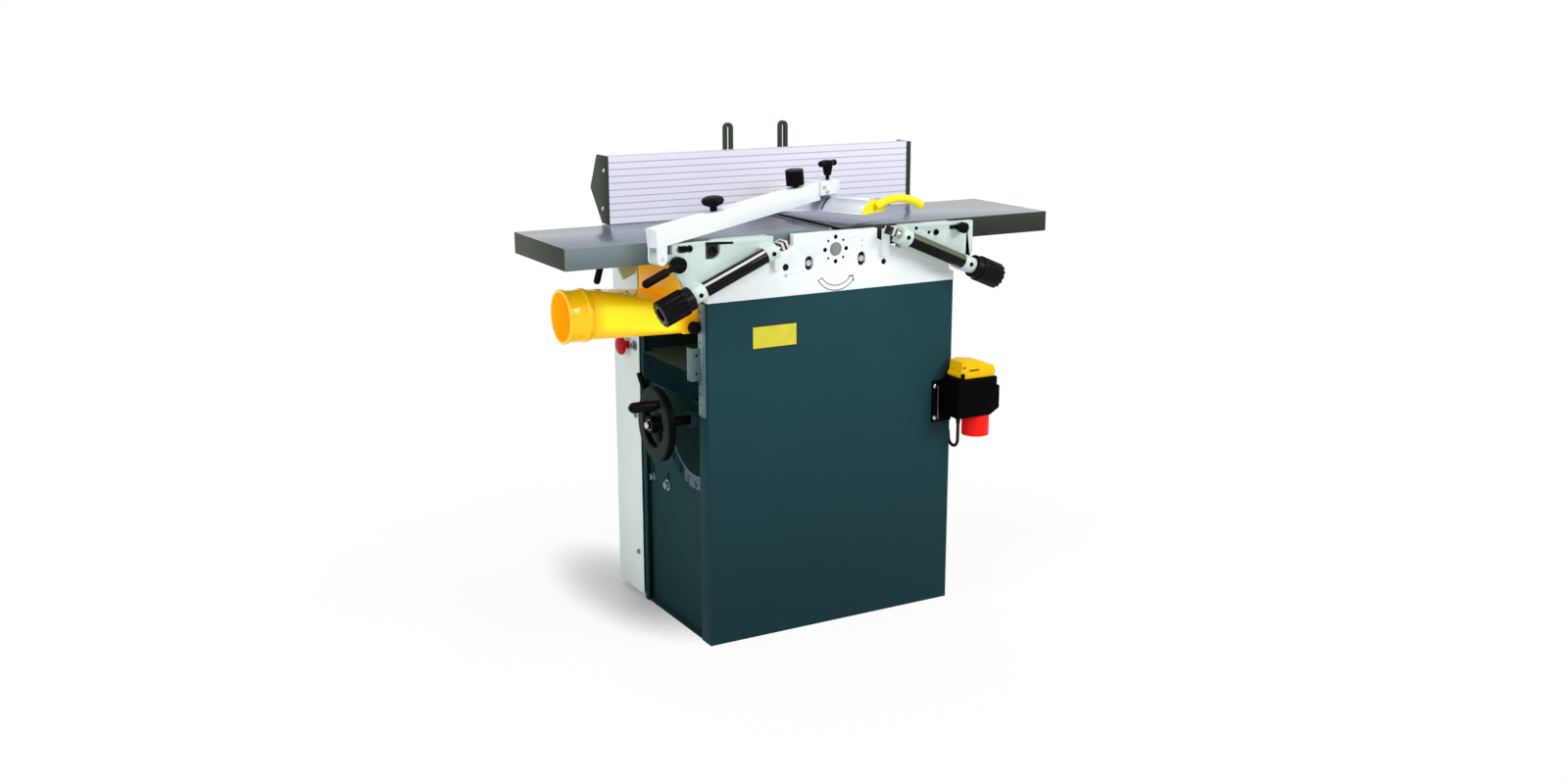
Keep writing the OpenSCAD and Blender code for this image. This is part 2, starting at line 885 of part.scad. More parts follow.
front_outer = 358;
rear_outer = 362;
right_outer = 318;
guard_pivot = [-front_outer - 30, -plate_y - 12, table_h - 26];
guard_lug_r = 12;
guard_pin_r = 5;
guard_turn = 24;
guard_x = 48;
guard_y = -20;
arm_end = [guard_x - 33 * cos(guard_turn), guard_y - 33 * sin(guard_turn)];
arm_run = norm([arm_end[0] - guard_pivot[0], arm_end[1] - guard_pivot[1]]);
arm_yaw = atan2(arm_end[1] - guard_pivot[1], arm_end[0] - guard_pivot[0]);
arm_w = 28;
arm_h = 35;
crown_z = table_h + guard_crown;
rail_h = 4;
clamp_z = crown_z + rail_h + move_gap;
arm_z0 = table_h + 14;
arm_z1 = clamp_z + 8;
arm_pitch = atan((arm_z1 - arm_z0) / arm_run);
ear_t = 4;
ear_out = arm_w / 2 - 0.6;

// Local frame at the guard's lift pivot, +X along the arm
module on_pivot() {
  translate(guard_pivot)
    rotate([0, 0, arm_yaw])
      children();
}

lever_x = 350;
lever_z = table_h - 40;
lever_pin_r = 6;

module left_brackets() {
  color("#e6edef")
    difference() {
      union() {
        along_y(-plate_y - plate_t, -plate_y)
          bracket_outline(front_outer, 0);
        way_pad();
        adjuster_lugs(0);
        mirror([0, 1, 0]) {
          along_y(-plate_y - plate_t, -plate_y)
            bracket_outline(rear_outer, 0);
          way_pad();
        }
        on_pivot() {
          rod_y(0, 0, guard_lug_r, -arm_w / 2 + ear_t + move_gap, arm_w / 2 - ear_t - move_gap);
          rod_y(0, 0, guard_pin_r, -arm_w / 2, arm_w / 2);
        }
        block([guard_pivot[0], -plate_y - plate_t, guard_pivot[2] - 9],
          [-front_outer + 8, guard_pivot[1] + 8.8, guard_pivot[2] + 5]);
      }
      block([-290, -plate_y - plate_t - 1, bracket_top - 34], [-259, -plate_y - 1.2, bracket_top - 5]);
      for (x = [-343, -333, -323])
        rod_y(x, bracket_top - 11, 7, -plate_y - plate_t - 1, -plate_y - plate_t + 6);
      rod_y(-lever_x, lever_z, lever_pin_r + run_gap, -plate_y - plate_t - 1, -plate_y + 0.5);
      rod_y(-lever_x, lever_z, lever_pin_r + run_gap, plate_y - 0.5, plate_y + plate_t + 1);
    }
}

knob_x = 284;
knob_z = bracket_top - 11;

module right_brackets() {
  color("#e6edef")
    mirror([1, 0, 0])
      difference() {
        union() {
          for (m = [0, 1])
            mirror([0, m, 0]) {
              along_y(-plate_y - plate_t, -plate_y)
                bracket_outline(right_outer, right_shift);
              way_pad();
            }
          adjuster_lugs(right_shift);
        }
        block([-knob_x - 20, -plate_y - plate_t - 1, knob_z - 5], [-knob_x + 24, -plate_y + 0.5, knob_z + 5]);
        rod_y(-180, bracket_top - 7, 2.5, -plate_y - plate_t - 1, -plate_y - 2);
        rod_y(-211, bracket_top - 17, 3, -plate_y - plate_t - 1, -plate_y - 2);
        rod_y(-228, bracket_top - 18, 5, -plate_y - plate_t - 1, -plate_y - 2);
      }
}

knob_u = [-180, -128];
knob_r = 26;
knob_ribs = 14;

module adjuster(shift) {
  on_adjuster(shift) {
    difference() {
      rod_x(0, 0, knob_r, knob_u[0], knob_u[1]);
      for (k = [0:knob_ribs - 1])
        rotate([360 * k / knob_ribs, 0, 0])
          rod_x(0, knob_r + 1, 3.6, knob_u[0] - 1, knob_u[1] - 6, $fn = 12);
      rod_x(0, 0, 14, knob_u[0] - 1, knob_u[0] + 6);
    }
    rod_x(0, 0, knob_r - 3, knob_u[1], lug_low[0] - move_gap);
    rod_x(0, 0, shank_r, knob_u[1], lug_high[1] + 1);
    rod_x(0, 0, barrel_r, lug_low[1] + move_gap, lug_high[0] - move_gap);
    rod_x(0, 0, tip_r, knob_u[0] + 4, nut_u[1] - 3);
  }
}

module left_adjuster() {
  color("#1e2022")
    adjuster(0);
}

module right_adjuster() {
  color("#1e2022")
    mirror([1, 0, 0])
      adjuster(right_shift);
}

// Nut of an adjuster on a web that stands on the cheek's front face, drawn on the left
module adjuster_nut(shift) {
  x0 = on_slope(shift + nut_u[0], 0)[0];
  x1 = on_slope(shift + nut_u[1], 0)[0];
  on_adjuster(shift)
    difference() {
      block([nut_u[0], -nut_h, -nut_h], [nut_u[1], adj_y - cab_front - 9, nut_h]);
      rod_x(0, 0, tip_r + move_gap, nut_u[0] - 1, nut_u[1] + 1);
    }
  block([x0, -cab_front - 10, way_z(x0) - 24], [x1, -cab_front, on_slope(shift + nut_u[1], 0)[1]]);
}

module adjuster_blocks() {
  color("#cdd5d8") {
    adjuster_nut(0);
    mirror([1, 0, 0])
      adjuster_nut(right_shift);
  }
}

// Lock lever on a bracket: hub, arm and grip, drawn at the front; it points down by a slope
module lock_lever(slope, len, grip_r) {
  y1 = -plate_y - plate_t - move_gap;
  translate([-lever_x, 0, lever_z]) {
    rod_y(0, 0, lever_pin_r, y1 - 1, -plate_y - 1);
    rod_y(0, 0, 15, y1 - 14, y1);
    translate([0, y1 - 9, 0])
      rotate([0, 180 - slope, 0]) {
        rod_x(0, 0, 5.5, 0, len);
        rod_x(0, 0, grip_r, len * 0.36, len);
        translate([len, 0, 0])
          sphere(r = grip_r);
      }
  }
}

module front_lock_lever() {
  color("#17191a")
    lock_lever(24, 72, 8);
}

module rear_lock_lever() {
  color("#17191a")
    mirror([0, 1, 0])
      lock_lever(74, 80, 7);
}

module right_lock_knob() {
  y1 = -plate_y - plate_t - move_gap;
  color("#17191a") {
    rod_y(knob_x, knob_z, 4.5, y1, -plate_y - 1);
    rod_y(knob_x, knob_z, 8, y1 - 8, y1);
    rod_y(knob_x, knob_z, 11, y1 - 20, y1 - 8);
  }
}

// Bridge guard: an arm from the infeed bracket carries an arched profile over the cutterblock

// Local frame under the middle of the guard, +Y along it to the back
module on_guard() {
  translate([guard_x, guard_y, 0])
    rotate([0, 0, guard_turn])
      children();
}

// Local frame on the arm's centre line
module on_arm() {
  on_pivot()
    translate([0, 0, arm_z0 - guard_pivot[2]])
      rotate([0, -arm_pitch, 0])
        children();
}

clamp_h = 26;
clamp_x = 11;
arm_wall = 3;

module guard_arm() {
  color("#eef3f4") {
    on_arm()
      difference() {
        block([-14, -arm_w / 2, -arm_h / 2], [arm_run / cos(arm_pitch), arm_w / 2, arm_h / 2]);
        block([30, -arm_w / 2 + arm_wall, -arm_h / 2 + arm_wall],
          [arm_run - 20, arm_w / 2 - arm_wall, arm_h / 2 - arm_wall]);
      }
    on_guard()
      block([-38, -20, clamp_z], [clamp_x + 14, 20, clamp_z + clamp_h]);
    on_pivot()
      for (m = [0, 1])
        mirror([0, m, 0])
          difference() {
            union() {
              rod_y(0, 0, guard_lug_r, arm_w / 2 - ear_t, ear_out);
              block([-guard_lug_r, arm_w / 2 - ear_t, 0], [guard_lug_r, ear_out, arm_z0 - guard_pivot[2] + 2]);
            }
            rod_y(0, 0, guard_pin_r + run_gap, 0, arm_w);
          }
  }
}

guard_t = 3;
arch_r = (guard_w * guard_w / 4 + guard_rise * guard_rise) / (2 * guard_rise);
cap_t = 4;

// Filled arch under the guard's crown
module arch_fill(r) {
  intersection() {
    translate([0, crown_z - arch_r])
      circle(r = r);
    translate([-guard_w / 2, crown_z - guard_rise])
      square([guard_w, guard_rise + 1]);
  }
}

module guard_profile() {
  color("#dfe6e9")
    on_guard()
      along_y(-guard_len / 2, guard_len / 2) {
        difference() {
          arch_fill(arch_r);
          arch_fill(arch_r - guard_t);
        }
        difference() {
          translate([-12, crown_z - 2])
            square([24, rail_h + 2]);
          translate([-4, crown_z])
            square([8, rail_h + 1]);
        }
      }
}

horn_r = 8;
horn_len = 96;
horn_rise = 14;
horn_bend = (horn_len * horn_len / 4 + horn_rise * horn_rise) / (2 * horn_rise);
horn_half = asin(horn_len / 2 / horn_bend);
horn_yaw = -30;

module guard_handle() {
  color("#f5dc28")
    on_guard() {
      along_y(-guard_len / 2 - cap_t, -guard_len / 2)
        arch_fill(arch_r);
      along_y(guard_len / 2, guard_len / 2 + cap_t)
        arch_fill(arch_r);
      translate([0, -guard_len / 2 - cap_t - horn_r / 2, crown_z - guard_rise / 2])
        rotate([0, 0, horn_yaw]) {
          translate([horn_len / 2, 0, horn_rise - horn_bend])
            rotate([90, 0, 0])
              rotate([0, 0, 90 - horn_half])
                rotate_extrude(angle = 2 * horn_half)
                  translate([horn_bend, 0])
                    circle(r = horn_r);
          translate([horn_len, 0, 0])
            sphere(r = horn_r + 1.5);
        }
    }
}

module guard_height_knob() {
  color("#1a1c1d")
    on_arm()
      translate([arm_run - 52, 0, arm_h / 2 + 0.3]) {
        cylinder(r = 6, h = 6);
        difference() {
          translate([0, 0, 5])
            cylinder(r = 18, h = 30);
          for (k = [0:17])
            rotate(20 * k)
              translate([19.2, 0, 4])
                cylinder(r = 2.4, h = 26);
        }
      }
}

module guard_tilt_knob() {
  color("#1a1c1d")
    on_arm()
      translate([146, 0, arm_h / 2 + 0.3]) {
        cylinder(r = 7, h = 10);
        translate([0, 0, 9])
          rotate_extrude()
            polygon([[0, 0], [10, 0], [19, 4], [22, 10], [20, 15], [14, 18], [0, 19]]);
      }
}

module guard_clamp_knob() {
  color("#1a1c1d")
    on_guard()
      translate([clamp_x, 0, clamp_z + clamp_h + 0.3]) {
        cylinder(r = 4, h = 10);
        translate([0, 0, 9])
          rotate_extrude()
            polygon([[0, 0], [6, 0], [8, 3], [11, 22], [11, 30], [0, 30]]);
        translate([0, 0, 33]) {
          rod_x(0, 0, 6, -22, 22);
          for (x = [-22, 22])
            translate([x, 0, 0])
              sphere(r = 6.5);
        }
      }
}

// Fence on its carriage behind the tables

// Outline in the Y-Z plane, drawn out from x0 to x1
module along_x(x0, x1) {
  translate([x0, 0, 0])
    rotate([90, 0, 90])
      linear_extrude(x1 - x0)
        children();
}

fence_y = half_w - fence_in;
fence_x0 = -358;
fence_x1 = fence_x0 + fence_len;
fence_z0 = table_h + 1;
fence_t = 22;
fence_back = fence_y + fence_t;
groove_count = 9;
post_places = [-80, 49];
post_w = 21;
post_t = 8;
post_top = fence_z0 + fence_h + 54;
pivot_y = fence_back + 12;
pivot_z = table_h + 16;
hinge_r = 5;
rail_top = table_h + 6;

module fence_board() {
  pitch = fence_h / (groove_count + 1);
  color("#e4e5f0")
    along_x(fence_x0, fence_x1)
      difference() {
        translate([fence_y, fence_z0])
          square([fence_t, fence_h]);
        for (k = [1:groove_count])
          translate([fence_y - 0.5, fence_z0 + k * pitch - 0.8])
            square([1.7, 1.6]);
        for (k = [0:2])
          translate([fence_y + 4, fence_z0 + 5 + k * (fence_h - 4) / 3])
            square([fence_t - 8, (fence_h - 4) / 3 - 6]);
      }
}

module fence_posts() {
  color("#2c3a2e") {
    for (x = [fence_x0 - 4, fence_x1])
      along_x(x, x + 4)
        polygon([
          [fence_y, fence_z0], [fence_y, fence_z0 + fence_h], [fence_y + 50, fence_z0 + fence_h],
          [fence_y + 85, fence_z0 + 66], [fence_back + 8, fence_z0]
        ]);
    for (x = post_places)
      difference() {
        union() {
          block([x - post_w / 2, fence_back, rail_top + 1],
            [x + post_w / 2, fence_back + post_t, post_top - post_w / 2]);
          rod_y(x, post_top - post_w / 2, post_w / 2, fence_back, fence_back + post_t);
          rod_x(pivot_y, pivot_z, 9, x - post_w / 2, x + post_w / 2);
        }
        block([x - 3, fence_back - 1, table_h + 44], [x + 3, fence_back + post_t + 1, post_top - post_w / 2]);
        rod_y(x, post_top - post_w / 2, 3, fence_back - 1, fence_back + post_t + 1);
        rod_x(pivot_y, pivot_z, hinge_r + run_gap, x - post_w, x + post_w);
      }
  }
}

carriage_y = [pivot_y + 12, cover_y - 13];

module fence_carriage() {
  z0 = rail_top + move_gap;
  ear = post_w / 2 + move_gap;
  color("#2f3638") {
    block([post_places[0] - 22, carriage_y[0], z0], [post_places[1] + 22, carriage_y[1], z0 + 12]);
    block([post_places[0] - 22, carriage_y[0], rail_top - 9], [post_places[0] - 12.4, carriage_y[1], z0 + 2]);
    block([post_places[1] + 12.4, carriage_y[0], rail_top - 9], [post_places[1] + 22, carriage_y[1], z0 + 2]);
    for (x = post_places) {
      rod_x(pivot_y, pivot_z, hinge_r, x - ear - 8, x + ear + 8);
      for (x0 = [x - ear - 8, x + ear]) {
        rod_x(pivot_y, pivot_z, 9, x0, x0 + 8);
        block([x0, pivot_y, z0], [x0 + 8, carriage_y[0] + 6, z0 + 11]);
      }
    }
  }
}

module fence_rails() {
  color("#3a4244")
    for (x = post_places) {
      block([x - 12, cab_front, cutter_z - 6], [x + 12, cab_front + 12, rail_top - 9]);
      block([x - 12, fence_back + 2, rail_top - 12], [x + 12, cover_y - 5, rail_top]);
    }
}

// Dust hood: a box under the cutterblock that draws in to a round spigot on the left

hood_half = cab_front - flange_w - 3;
hood_x0 = -310;
hood_x1 = 56;
hood_z0 = thick_h + hood_gap;
hood_top = panel_h + 28;
duct_h = 58;
spigot_z = panel_h - spigot_drop;
neck_x = -spigot_x + 48;
spigot_r = spigot_d / 2;

// Side outline of the hood, drawn in by a wall thickness
module hood_outline(t) {
  polygon([
    [hood_x0 + t, hood_z0 + t], [hood_x1 - 46 - t / 2, hood_z0 + t], [hood_x1 - t, hood_z0 + 48 + t / 2],
    [hood_x1 - t, hood_top - t], [-140, hood_top - t], [hood_x0 + t, hood_top + 32 - t]
  ]);
}

// Loft from the round neck to the flat duct, drawn in by a wall thickness
module hood_loft(t) {
  hull() {
    rod_x(0, spigot_z, spigot_r - 2 - t, neck_x - 1, neck_x + 1, $fn = 32);
    block([hood_x0 + t, -hood_half + t, hood_z0 + t], [hood_x0 + 8, hood_half - t, hood_z0 + duct_h - t]);
  }
}

module dust_hood() {
  color("#f8c01c")
    difference() {
      union() {
        along_y(-hood_half, hood_half)
          hood_outline(0);
        hood_loft(0);
        rod_x(0, spigot_z, spigot_r, -spigot_x, neck_x);
        rod_x(0, spigot_z, spigot_r + 2.5, -spigot_x, -spigot_x + 6);
        rod_x(0, spigot_z, spigot_r + 2, neck_x - 8, neck_x);
        for (m = [0, 1])
          mirror([0, m, 0])
            block([-half_cab + 8, -cheek_y + 2, panel_h + 0.3], [hood_x1 - 4, -hood_half + 1, panel_h + 3.3]);
      }
      along_y(-hood_half + hood_wall, hood_half - hood_wall)
        hood_outline(hood_wall);
      hood_loft(hood_wall);
      rod_x(0, spigot_z, spigot_r - hood_wall, -spigot_x - 1, neck_x);
      block([-knife_r - 7, -hood_half + hood_wall, hood_top - 10],
        [hood_x1 - 6, hood_half - hood_wall, hood_top + 1]);
    }
}

// Switch on the front panel's right edge

switch_z = [409, 485];
switch_x0 = half_cab - 25;
switch_x1 = switch_x0 + 104;
switch_y = [-cab_front - 63, -cab_front - 4];
seat_z = switch_z[1] + 3;
lid_x = switch_x0 + 10;
lid_z = seat_z + 1;
lid_hinge = [lid_x + 4, lid_z + 8];
lid_y = [switch_y[0] + 8, switch_y[1] - 8];
lid_pin_r = 3;
inlet_x = switch_x0 + 66;
inlet_y = -cab_front - 33.5;
inlet_r = 28.5;
inlet_h = 45;

module switch_plate() {
  color("#141516")
    block([half_cab - 48, switch_y[1], 392], [half_cab, -cab_front, 480]);
}

module switch_box() {
  color("#111213") {
    difference() {
      union() {
        along_y(switch_y[0], switch_y[1])
          polygon([
            [switch_x0, switch_z[0]], [switch_x1 - 22, switch_z[0]], [switch_x1, switch_z[0] + 13],
            [switch_x1, switch_z[1] - 17], [switch_x1 - 4, switch_z[1] - 14], [switch_x0, switch_z[1]]
          ]);
        block([switch_x0 + 5, switch_y[0] + 4, switch_z[0] + 30], [switch_x1 - 4, switch_y[1] - 2, seat_z]);
      }
      translate([inlet_x, inlet_y, switch_z[0] - 1])
        cylinder(r = inlet_r - 5, h = 21);
    }
    rod_y(lid_hinge[0], lid_hinge[1], lid_pin_r, lid_y[0] - 4, lid_y[1] + 4);
    for (y = [lid_y[0] - 4, lid_y[1] + move_gap])
      block([lid_hinge[0] - 4, y, seat_z - 1], [lid_hinge[0] + 4, y + 4 - move_gap, lid_hinge[1] + 4]);
  }
}

module switch_lid() {
  color("#f2c21b")
    difference() {
      union() {
        along_y(lid_y[0], lid_y[1])
          polygon([
            [lid_x + 12, lid_z], [lid_x + 84, lid_z], [lid_x + 88, lid_z + 8], [lid_x + 84, lid_z + 22],
            [lid_x + 56, lid_z + 33], [lid_x + 20, lid_z + 38], [lid_x + 4, lid_z + 35], [lid_x + 2, lid_z + 14]
          ]);
        rod_y(lid_hinge[0], lid_hinge[1], 6, lid_y[0], lid_y[1]);
      }
      block([lid_x + 16, lid_y[0] + 4, lid_z - 1], [lid_x + 80, lid_y[1] - 4, lid_z + 18]);
      rod_y(lid_hinge[0], lid_hinge[1], lid_pin_r + run_gap, lid_y[0] - 1, lid_y[1] + 1);
    }
}

module power_inlet() {
  translate([inlet_x, inlet_y, switch_z[0]])
    color("#e8261a") {
      difference() {
        translate([0, 0, -inlet_h])
          cylinder(r = inlet_r, h = inlet_h);
        translate([0, 0, -inlet_h - 1])
          cylinder(r = inlet_r - 4, h = inlet_h - 9);
      }
      for (a = [0:72:288])
        rotate(a)
          translate([15, 0, -inlet_h + 9])
            cylinder(r = 3, h = inlet_h - 17);
    }
}

// Motor lead from the switch box into the front panel's right flange, held at both ends

cable_r = 3.5;
cable_start = [half_cab + 12, -cab_front - 13, switch_z[0]];
cable_steps = [
  [0, 0, 0], [0, 0, -16], [0, 0, -38], [0, 0, -59], [0, 2.2, -67.2], [0, 8.2, -73.3], [0, 16.5, -75.5],
  [0, 24.8, -73.3], [0, 30.8, -67.2], [0, 33, -59], [-1, 33, -48], [-4, 33, -37], [-8, 33, -29], [-12, 33, -23]
];
cable_points = [for (p = cable_steps) cable_start + p];
cable_sides = 10;

function unit(v) = v / norm(v);

// Direction of the route at one of its points, square to what the ends meet
function heading(k) =
  k == 0 ? [0, 0, -1] :
  k == len(cable_points) - 1 ? [-1, 0, 0] : unit(cable_points[k + 1] - cable_points[k - 1]);

// Ring of points round the route at one of its points
function ring(k) =
  let (d = heading(k), u = unit(cross(d, [0.6, -0.8, 0])), v = cross(d, u))
    [for (s = [0:cable_sides - 1])
      cable_points[k] + cable_r * (cos(360 * s / cable_sides) * u + sin(360 * s / cable_sides) * v)];

module motor_cable() {
  rows = len(cable_points);
  color("#0f1010") {
    polyhedron(
      points = [for (k = [0:rows - 1]) each ring(k)],
      faces = concat(
        [[for (s = [0:cable_sides - 1]) s]],
        [for (k = [0:rows - 2], s = [0:cable_sides - 1])
          let (a = k * cable_sides + s, b = k * cable_sides + (s + 1) % cable_sides)
            each [[a, a + cable_sides, b], [b, a + cable_sides, b + cable_sides]]],
        [[for (s = [cable_sides - 1:-1:0]) (rows - 1) * cable_sides + s]]
      )
    );
  }
}

// Feed lever on the end panel and the stop button on the drive cover

lever_y = 100;
lever_low = end_panel_h - 50;
lever_lean = 24;
lever_out = end_recess + 8;

module feed_lever() {
  color("#17191a")
    translate([-end_x - 0.3, lever_y, lever_low]) {
      rod_x(0, 0, 11, -8, 0);
      rod_x(0, 0, 8, -lever_out - 5, 0);
      translate([-lever_out, 0, 0])
        rotate([-lever_lean, -8, 0]) {
          cylinder(r = 4, h = 52);
          translate([0, 0, 44])
            cylinder(r = 6, h = 32);
        }
    }
}

stop_r = 20;

module stop_button() {
  face_x = -half_cab - 4;
  color("#e0241c") {
    rod_x(stop_y, stop_z, stop_stem_r, face_x - 14, face_x + 10);
    translate([face_x - 12, stop_y, stop_z])
      rotate([0, -90, 0])
        rotate_extrude()
          polygon([[0, 0], [stop_r - 3, 0], [stop_r, 4], [stop_r - 1, 9], [stop_r - 8, 13], [0, 14]]);
  }
}

module bearings() {
  cutter_bearing_rings();
  roller_bush_blocks();
}

module scales() {
  depth_strip();
  dial_disc();
}

module lift_columns() {
  lift_screw_rod();
  guide_post_pair();
}

base_plate();
front_panel();
rear_panel();
left_end_panel();
right_end_panel();
drive_cover();
front_cheek();
rear_cheek();
bearings();
tie_bars();
scales();
panel_bolts();
lift_housing();
motor();
motor_mount();
drive_belt();
feed_chain();
switch_plate();
switch_box();
power_inlet();
motor_cable();
adjuster_blocks();
fence_rails();
cutter_block();
cutter_knives();
cutter_pulley();
motor_pulley();
infeed_roller();
outfeed_roller();
feed_sprocket();
kickback_fingers();
thickness_table();
lift_columns();
scale_pointer();
nut_gear();
handwheel();
wheel_shaft();
crank_grip();
feed_lever();
left_table();
left_brackets();
left_adjuster();
front_lock_lever();
rear_lock_lever();
right_table();
right_brackets();
right_adjuster();
right_lock_knob();
guard_arm();
guard_profile();
guard_handle();
guard_height_knob();
guard_tilt_knob();
guard_clamp_knob();
fence_carriage();
fence_board();
fence_posts();
switch_lid();
stop_button();
dust_hood();
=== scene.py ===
# Looks of the combination planer thicknesser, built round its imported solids.
# The sections follow the machine as it is put together, from the floor up.
import json
import math

import bmesh
import bpy
from mathutils import Matrix, Vector


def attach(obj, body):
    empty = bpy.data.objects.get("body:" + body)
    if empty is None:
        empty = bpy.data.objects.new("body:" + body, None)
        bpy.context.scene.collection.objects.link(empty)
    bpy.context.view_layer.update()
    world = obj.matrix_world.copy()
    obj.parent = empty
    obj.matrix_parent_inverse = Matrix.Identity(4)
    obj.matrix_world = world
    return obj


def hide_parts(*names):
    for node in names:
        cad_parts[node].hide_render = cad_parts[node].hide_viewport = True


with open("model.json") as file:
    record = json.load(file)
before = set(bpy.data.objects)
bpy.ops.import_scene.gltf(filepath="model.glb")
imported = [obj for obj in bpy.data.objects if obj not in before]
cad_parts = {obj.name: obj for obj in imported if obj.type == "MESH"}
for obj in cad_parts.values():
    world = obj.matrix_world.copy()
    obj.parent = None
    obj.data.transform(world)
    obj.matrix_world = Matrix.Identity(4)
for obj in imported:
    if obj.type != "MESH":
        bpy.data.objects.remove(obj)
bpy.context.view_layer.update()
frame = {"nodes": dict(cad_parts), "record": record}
scene = bpy.context.scene
scene.view_settings.view_transform = "Standard"


# Studio
# The machine stands on a seamless pale floor under large soft lamps, seen from the front left
# and a little above, from about chest height.
CAMERA_AT = (-1.6114, -2.7792, 1.2375)
CAMERA_AIM = (-0.0337, 0, 0.4578)
CAMERA_LENS = 36.64
CAMERA_SENSOR = 36
CAMERA_REACH = 40


def placed(name, data):
    """A new object in the scene."""
    thing = bpy.data.objects.new(name, data)
    scene.collection.objects.link(thing)
    return thing


def aimed(name, data, at, target):
    """A camera or a lamp at one point, turned towards another."""
    thing = placed(name, data)
    thing.location = at
    thing.rotation_euler = (Vector(target) - Vector(at)).to_track_quat("-Z", "Y").to_euler()
    return thing


camera = aimed("camera", bpy.data.cameras.new("camera"), CAMERA_AT, CAMERA_AIM)
camera.data.lens = CAMERA_LENS
camera.data.sensor_width = CAMERA_SENSOR
camera.data.clip_end = CAMERA_REACH
scene.camera = camera


class Wire:
    """A socket of a plan. Arithmetic on it adds Math nodes."""

    def __init__(self, plan, socket):
        self.plan = plan
        self.socket = socket

    def maths(self, operation, other):
        return self.plan.node("ShaderNodeMath", {"operation": operation}, {0: self, 1: other})

    def __add__(self, other):
        return self.maths("ADD", other)

    def __sub__(self, other):
        return self.maths("SUBTRACT", other)

    def __rsub__(self, other):
        return self.plan.node("ShaderNodeMath", {"operation": "SUBTRACT"}, {0: other, 1: self})

    def __mul__(self, other):
        return self.maths("MULTIPLY", other)

    def __mod__(self, other):
        return self.maths("MODULO", other)

    def __gt__(self, other):
        return self.maths("GREATER_THAN", other)

    def __lt__(self, other):
        return self.maths("LESS_THAN", other)

    def size(self):
        return self.maths("ABSOLUTE", 0.0)

    __radd__ = __add__
    __rmul__ = __mul__


class Plan:
    """A node tree. One method adds every kind of node to it."""

    def __init__(self, tree):
        self.tree = tree

    def node(self, kind, settings, sockets, output=0):
        made = self.tree.nodes.new(kind)
        for key, value in settings.items():
            setattr(made, key, value)
        for key, value in sockets.items():
            self.feed(made.inputs[key], value)
        return Wire(self, made.outputs[output])

    def feed(self, socket, value):
        if isinstance(value, Wire):
            self.tree.links.new(value.socket, socket)
        else:
            socket.default_value = value

    def seen(self):
        """1 for a ray from the camera, a mirror or glass, and 0 for the light that things give."""
        kinds = ("Is Camera Ray", "Is Glossy Ray", "Is Transmission Ray")
        camera_ray, glossy_ray, clear_ray = [
            self.node("ShaderNodeLightPath", {}, {}, kind) for kind in kinds]
        return camera_ray + glossy_ray + clear_ray > 0.5


class Finish(Plan):
    """A material whose shader is written as expressions on its sockets."""

    def __init__(self, name):
        self.material = bpy.data.materials.new(name)
        self.material.use_nodes = True
        super().__init__(self.material.node_tree)
        self.shader = self.tree.nodes["Principled BSDF"]

    def place(self):
        return self.node("ShaderNodeTexCoord", {}, {}, "Object")

    def along(self, axis):
        return self.node("ShaderNodeSeparateXYZ", {}, {0: self.place()}, axis)

    def facing(self, axis):
        turned_to = self.node("ShaderNodeTexCoord", {}, {}, "Normal")
        return self.node("ShaderNodeSeparateXYZ", {}, {0: turned_to}, axis)

    def noise(self, scale, detail=2.0, stretch=(1, 1, 1)):
        spot = self.node("ShaderNodeMapping", {}, {"Vector": self.place(), "Scale": stretch})
        return self.node("ShaderNodeTexNoise", {}, {"Vector": spot, "Scale": scale, "Detail": detail})

    def ease(self, value, low, high):
        ends = {"Value": value, "From Min": low, "From Max": high}
        return self.node("ShaderNodeMapRange", {"interpolation_type": "SMOOTHSTEP"}, ends)

    def blend(self, share, first, second):
        sockets = {0: share, 6: first, 7: second}
        return self.node("ShaderNodeMix", {"data_type": "RGBA"}, sockets, 2)

    def bump(self, height, depth):
        sockets = {"Height": height, "Distance": depth, "Strength": 1.0}
        return self.node("ShaderNodeBump", {}, sockets)

    def surface(self, **sockets):
        for name, value in sockets.items():
            self.feed(self.shader.inputs[name.replace("_", " ")], value)
        return self


def tint(*channels):
    """A colour as it looks on screen, 0 to 255, in the values that the shader takes."""
    parts = [channel / 255 for channel in channels]
    return (*[p / 12.92 if p <= 0.04045 else ((p + 0.055) / 1.055) ** 2.4 for p in parts], 1.0)


# The floor's soft shadow lies to the left of the machine, where the lamps reach least; a shadow is also
# painted darker into the floor's colour there
SHADE_MIDDLE = (-0.285, 0.25)
SHADE_HALF = (0.14, 0.34)
FLOOR_REACH = 14
FLOOR_DROP = 0.0005
WHITE = (1, 1, 1, 1)
floor_finish = Finish("studio_floor")
floor_white = floor_finish.node("ShaderNodeEmission", {}, {"Color": WHITE, "Strength": 1.0})
floor_x, floor_y = floor_finish.along("X"), floor_finish.along("Y")
shade_x = (floor_x - SHADE_MIDDLE[0]) * (1 / SHADE_HALF[0])
shade_y = (floor_y - SHADE_MIDDLE[1]) * (1 / SHADE_HALF[1])
floor_clear = floor_finish.ease(shade_x * shade_x + shade_y * shade_y, -0.35, 1.4)
floor_far = floor_finish.ease(floor_x * floor_x + floor_y * floor_y, 0.30, 1.6)
floor_painted_shadow = floor_finish.blend(floor_clear, (0.62, 0.62, 0.62, 1), (0.88, 0.88, 0.88, 1))
floor_finish.surface(Base_Color=floor_painted_shadow, Roughness=0.95, Specular_IOR_Level=0.0)
floor_look = floor_finish.node("ShaderNodeMixShader", {}, {
    0: floor_finish.seen() * (0.02 + 0.88 * floor_clear + 0.10 * floor_far),
    1: Wire(floor_finish, floor_finish.shader.outputs[0]), 2: floor_white})
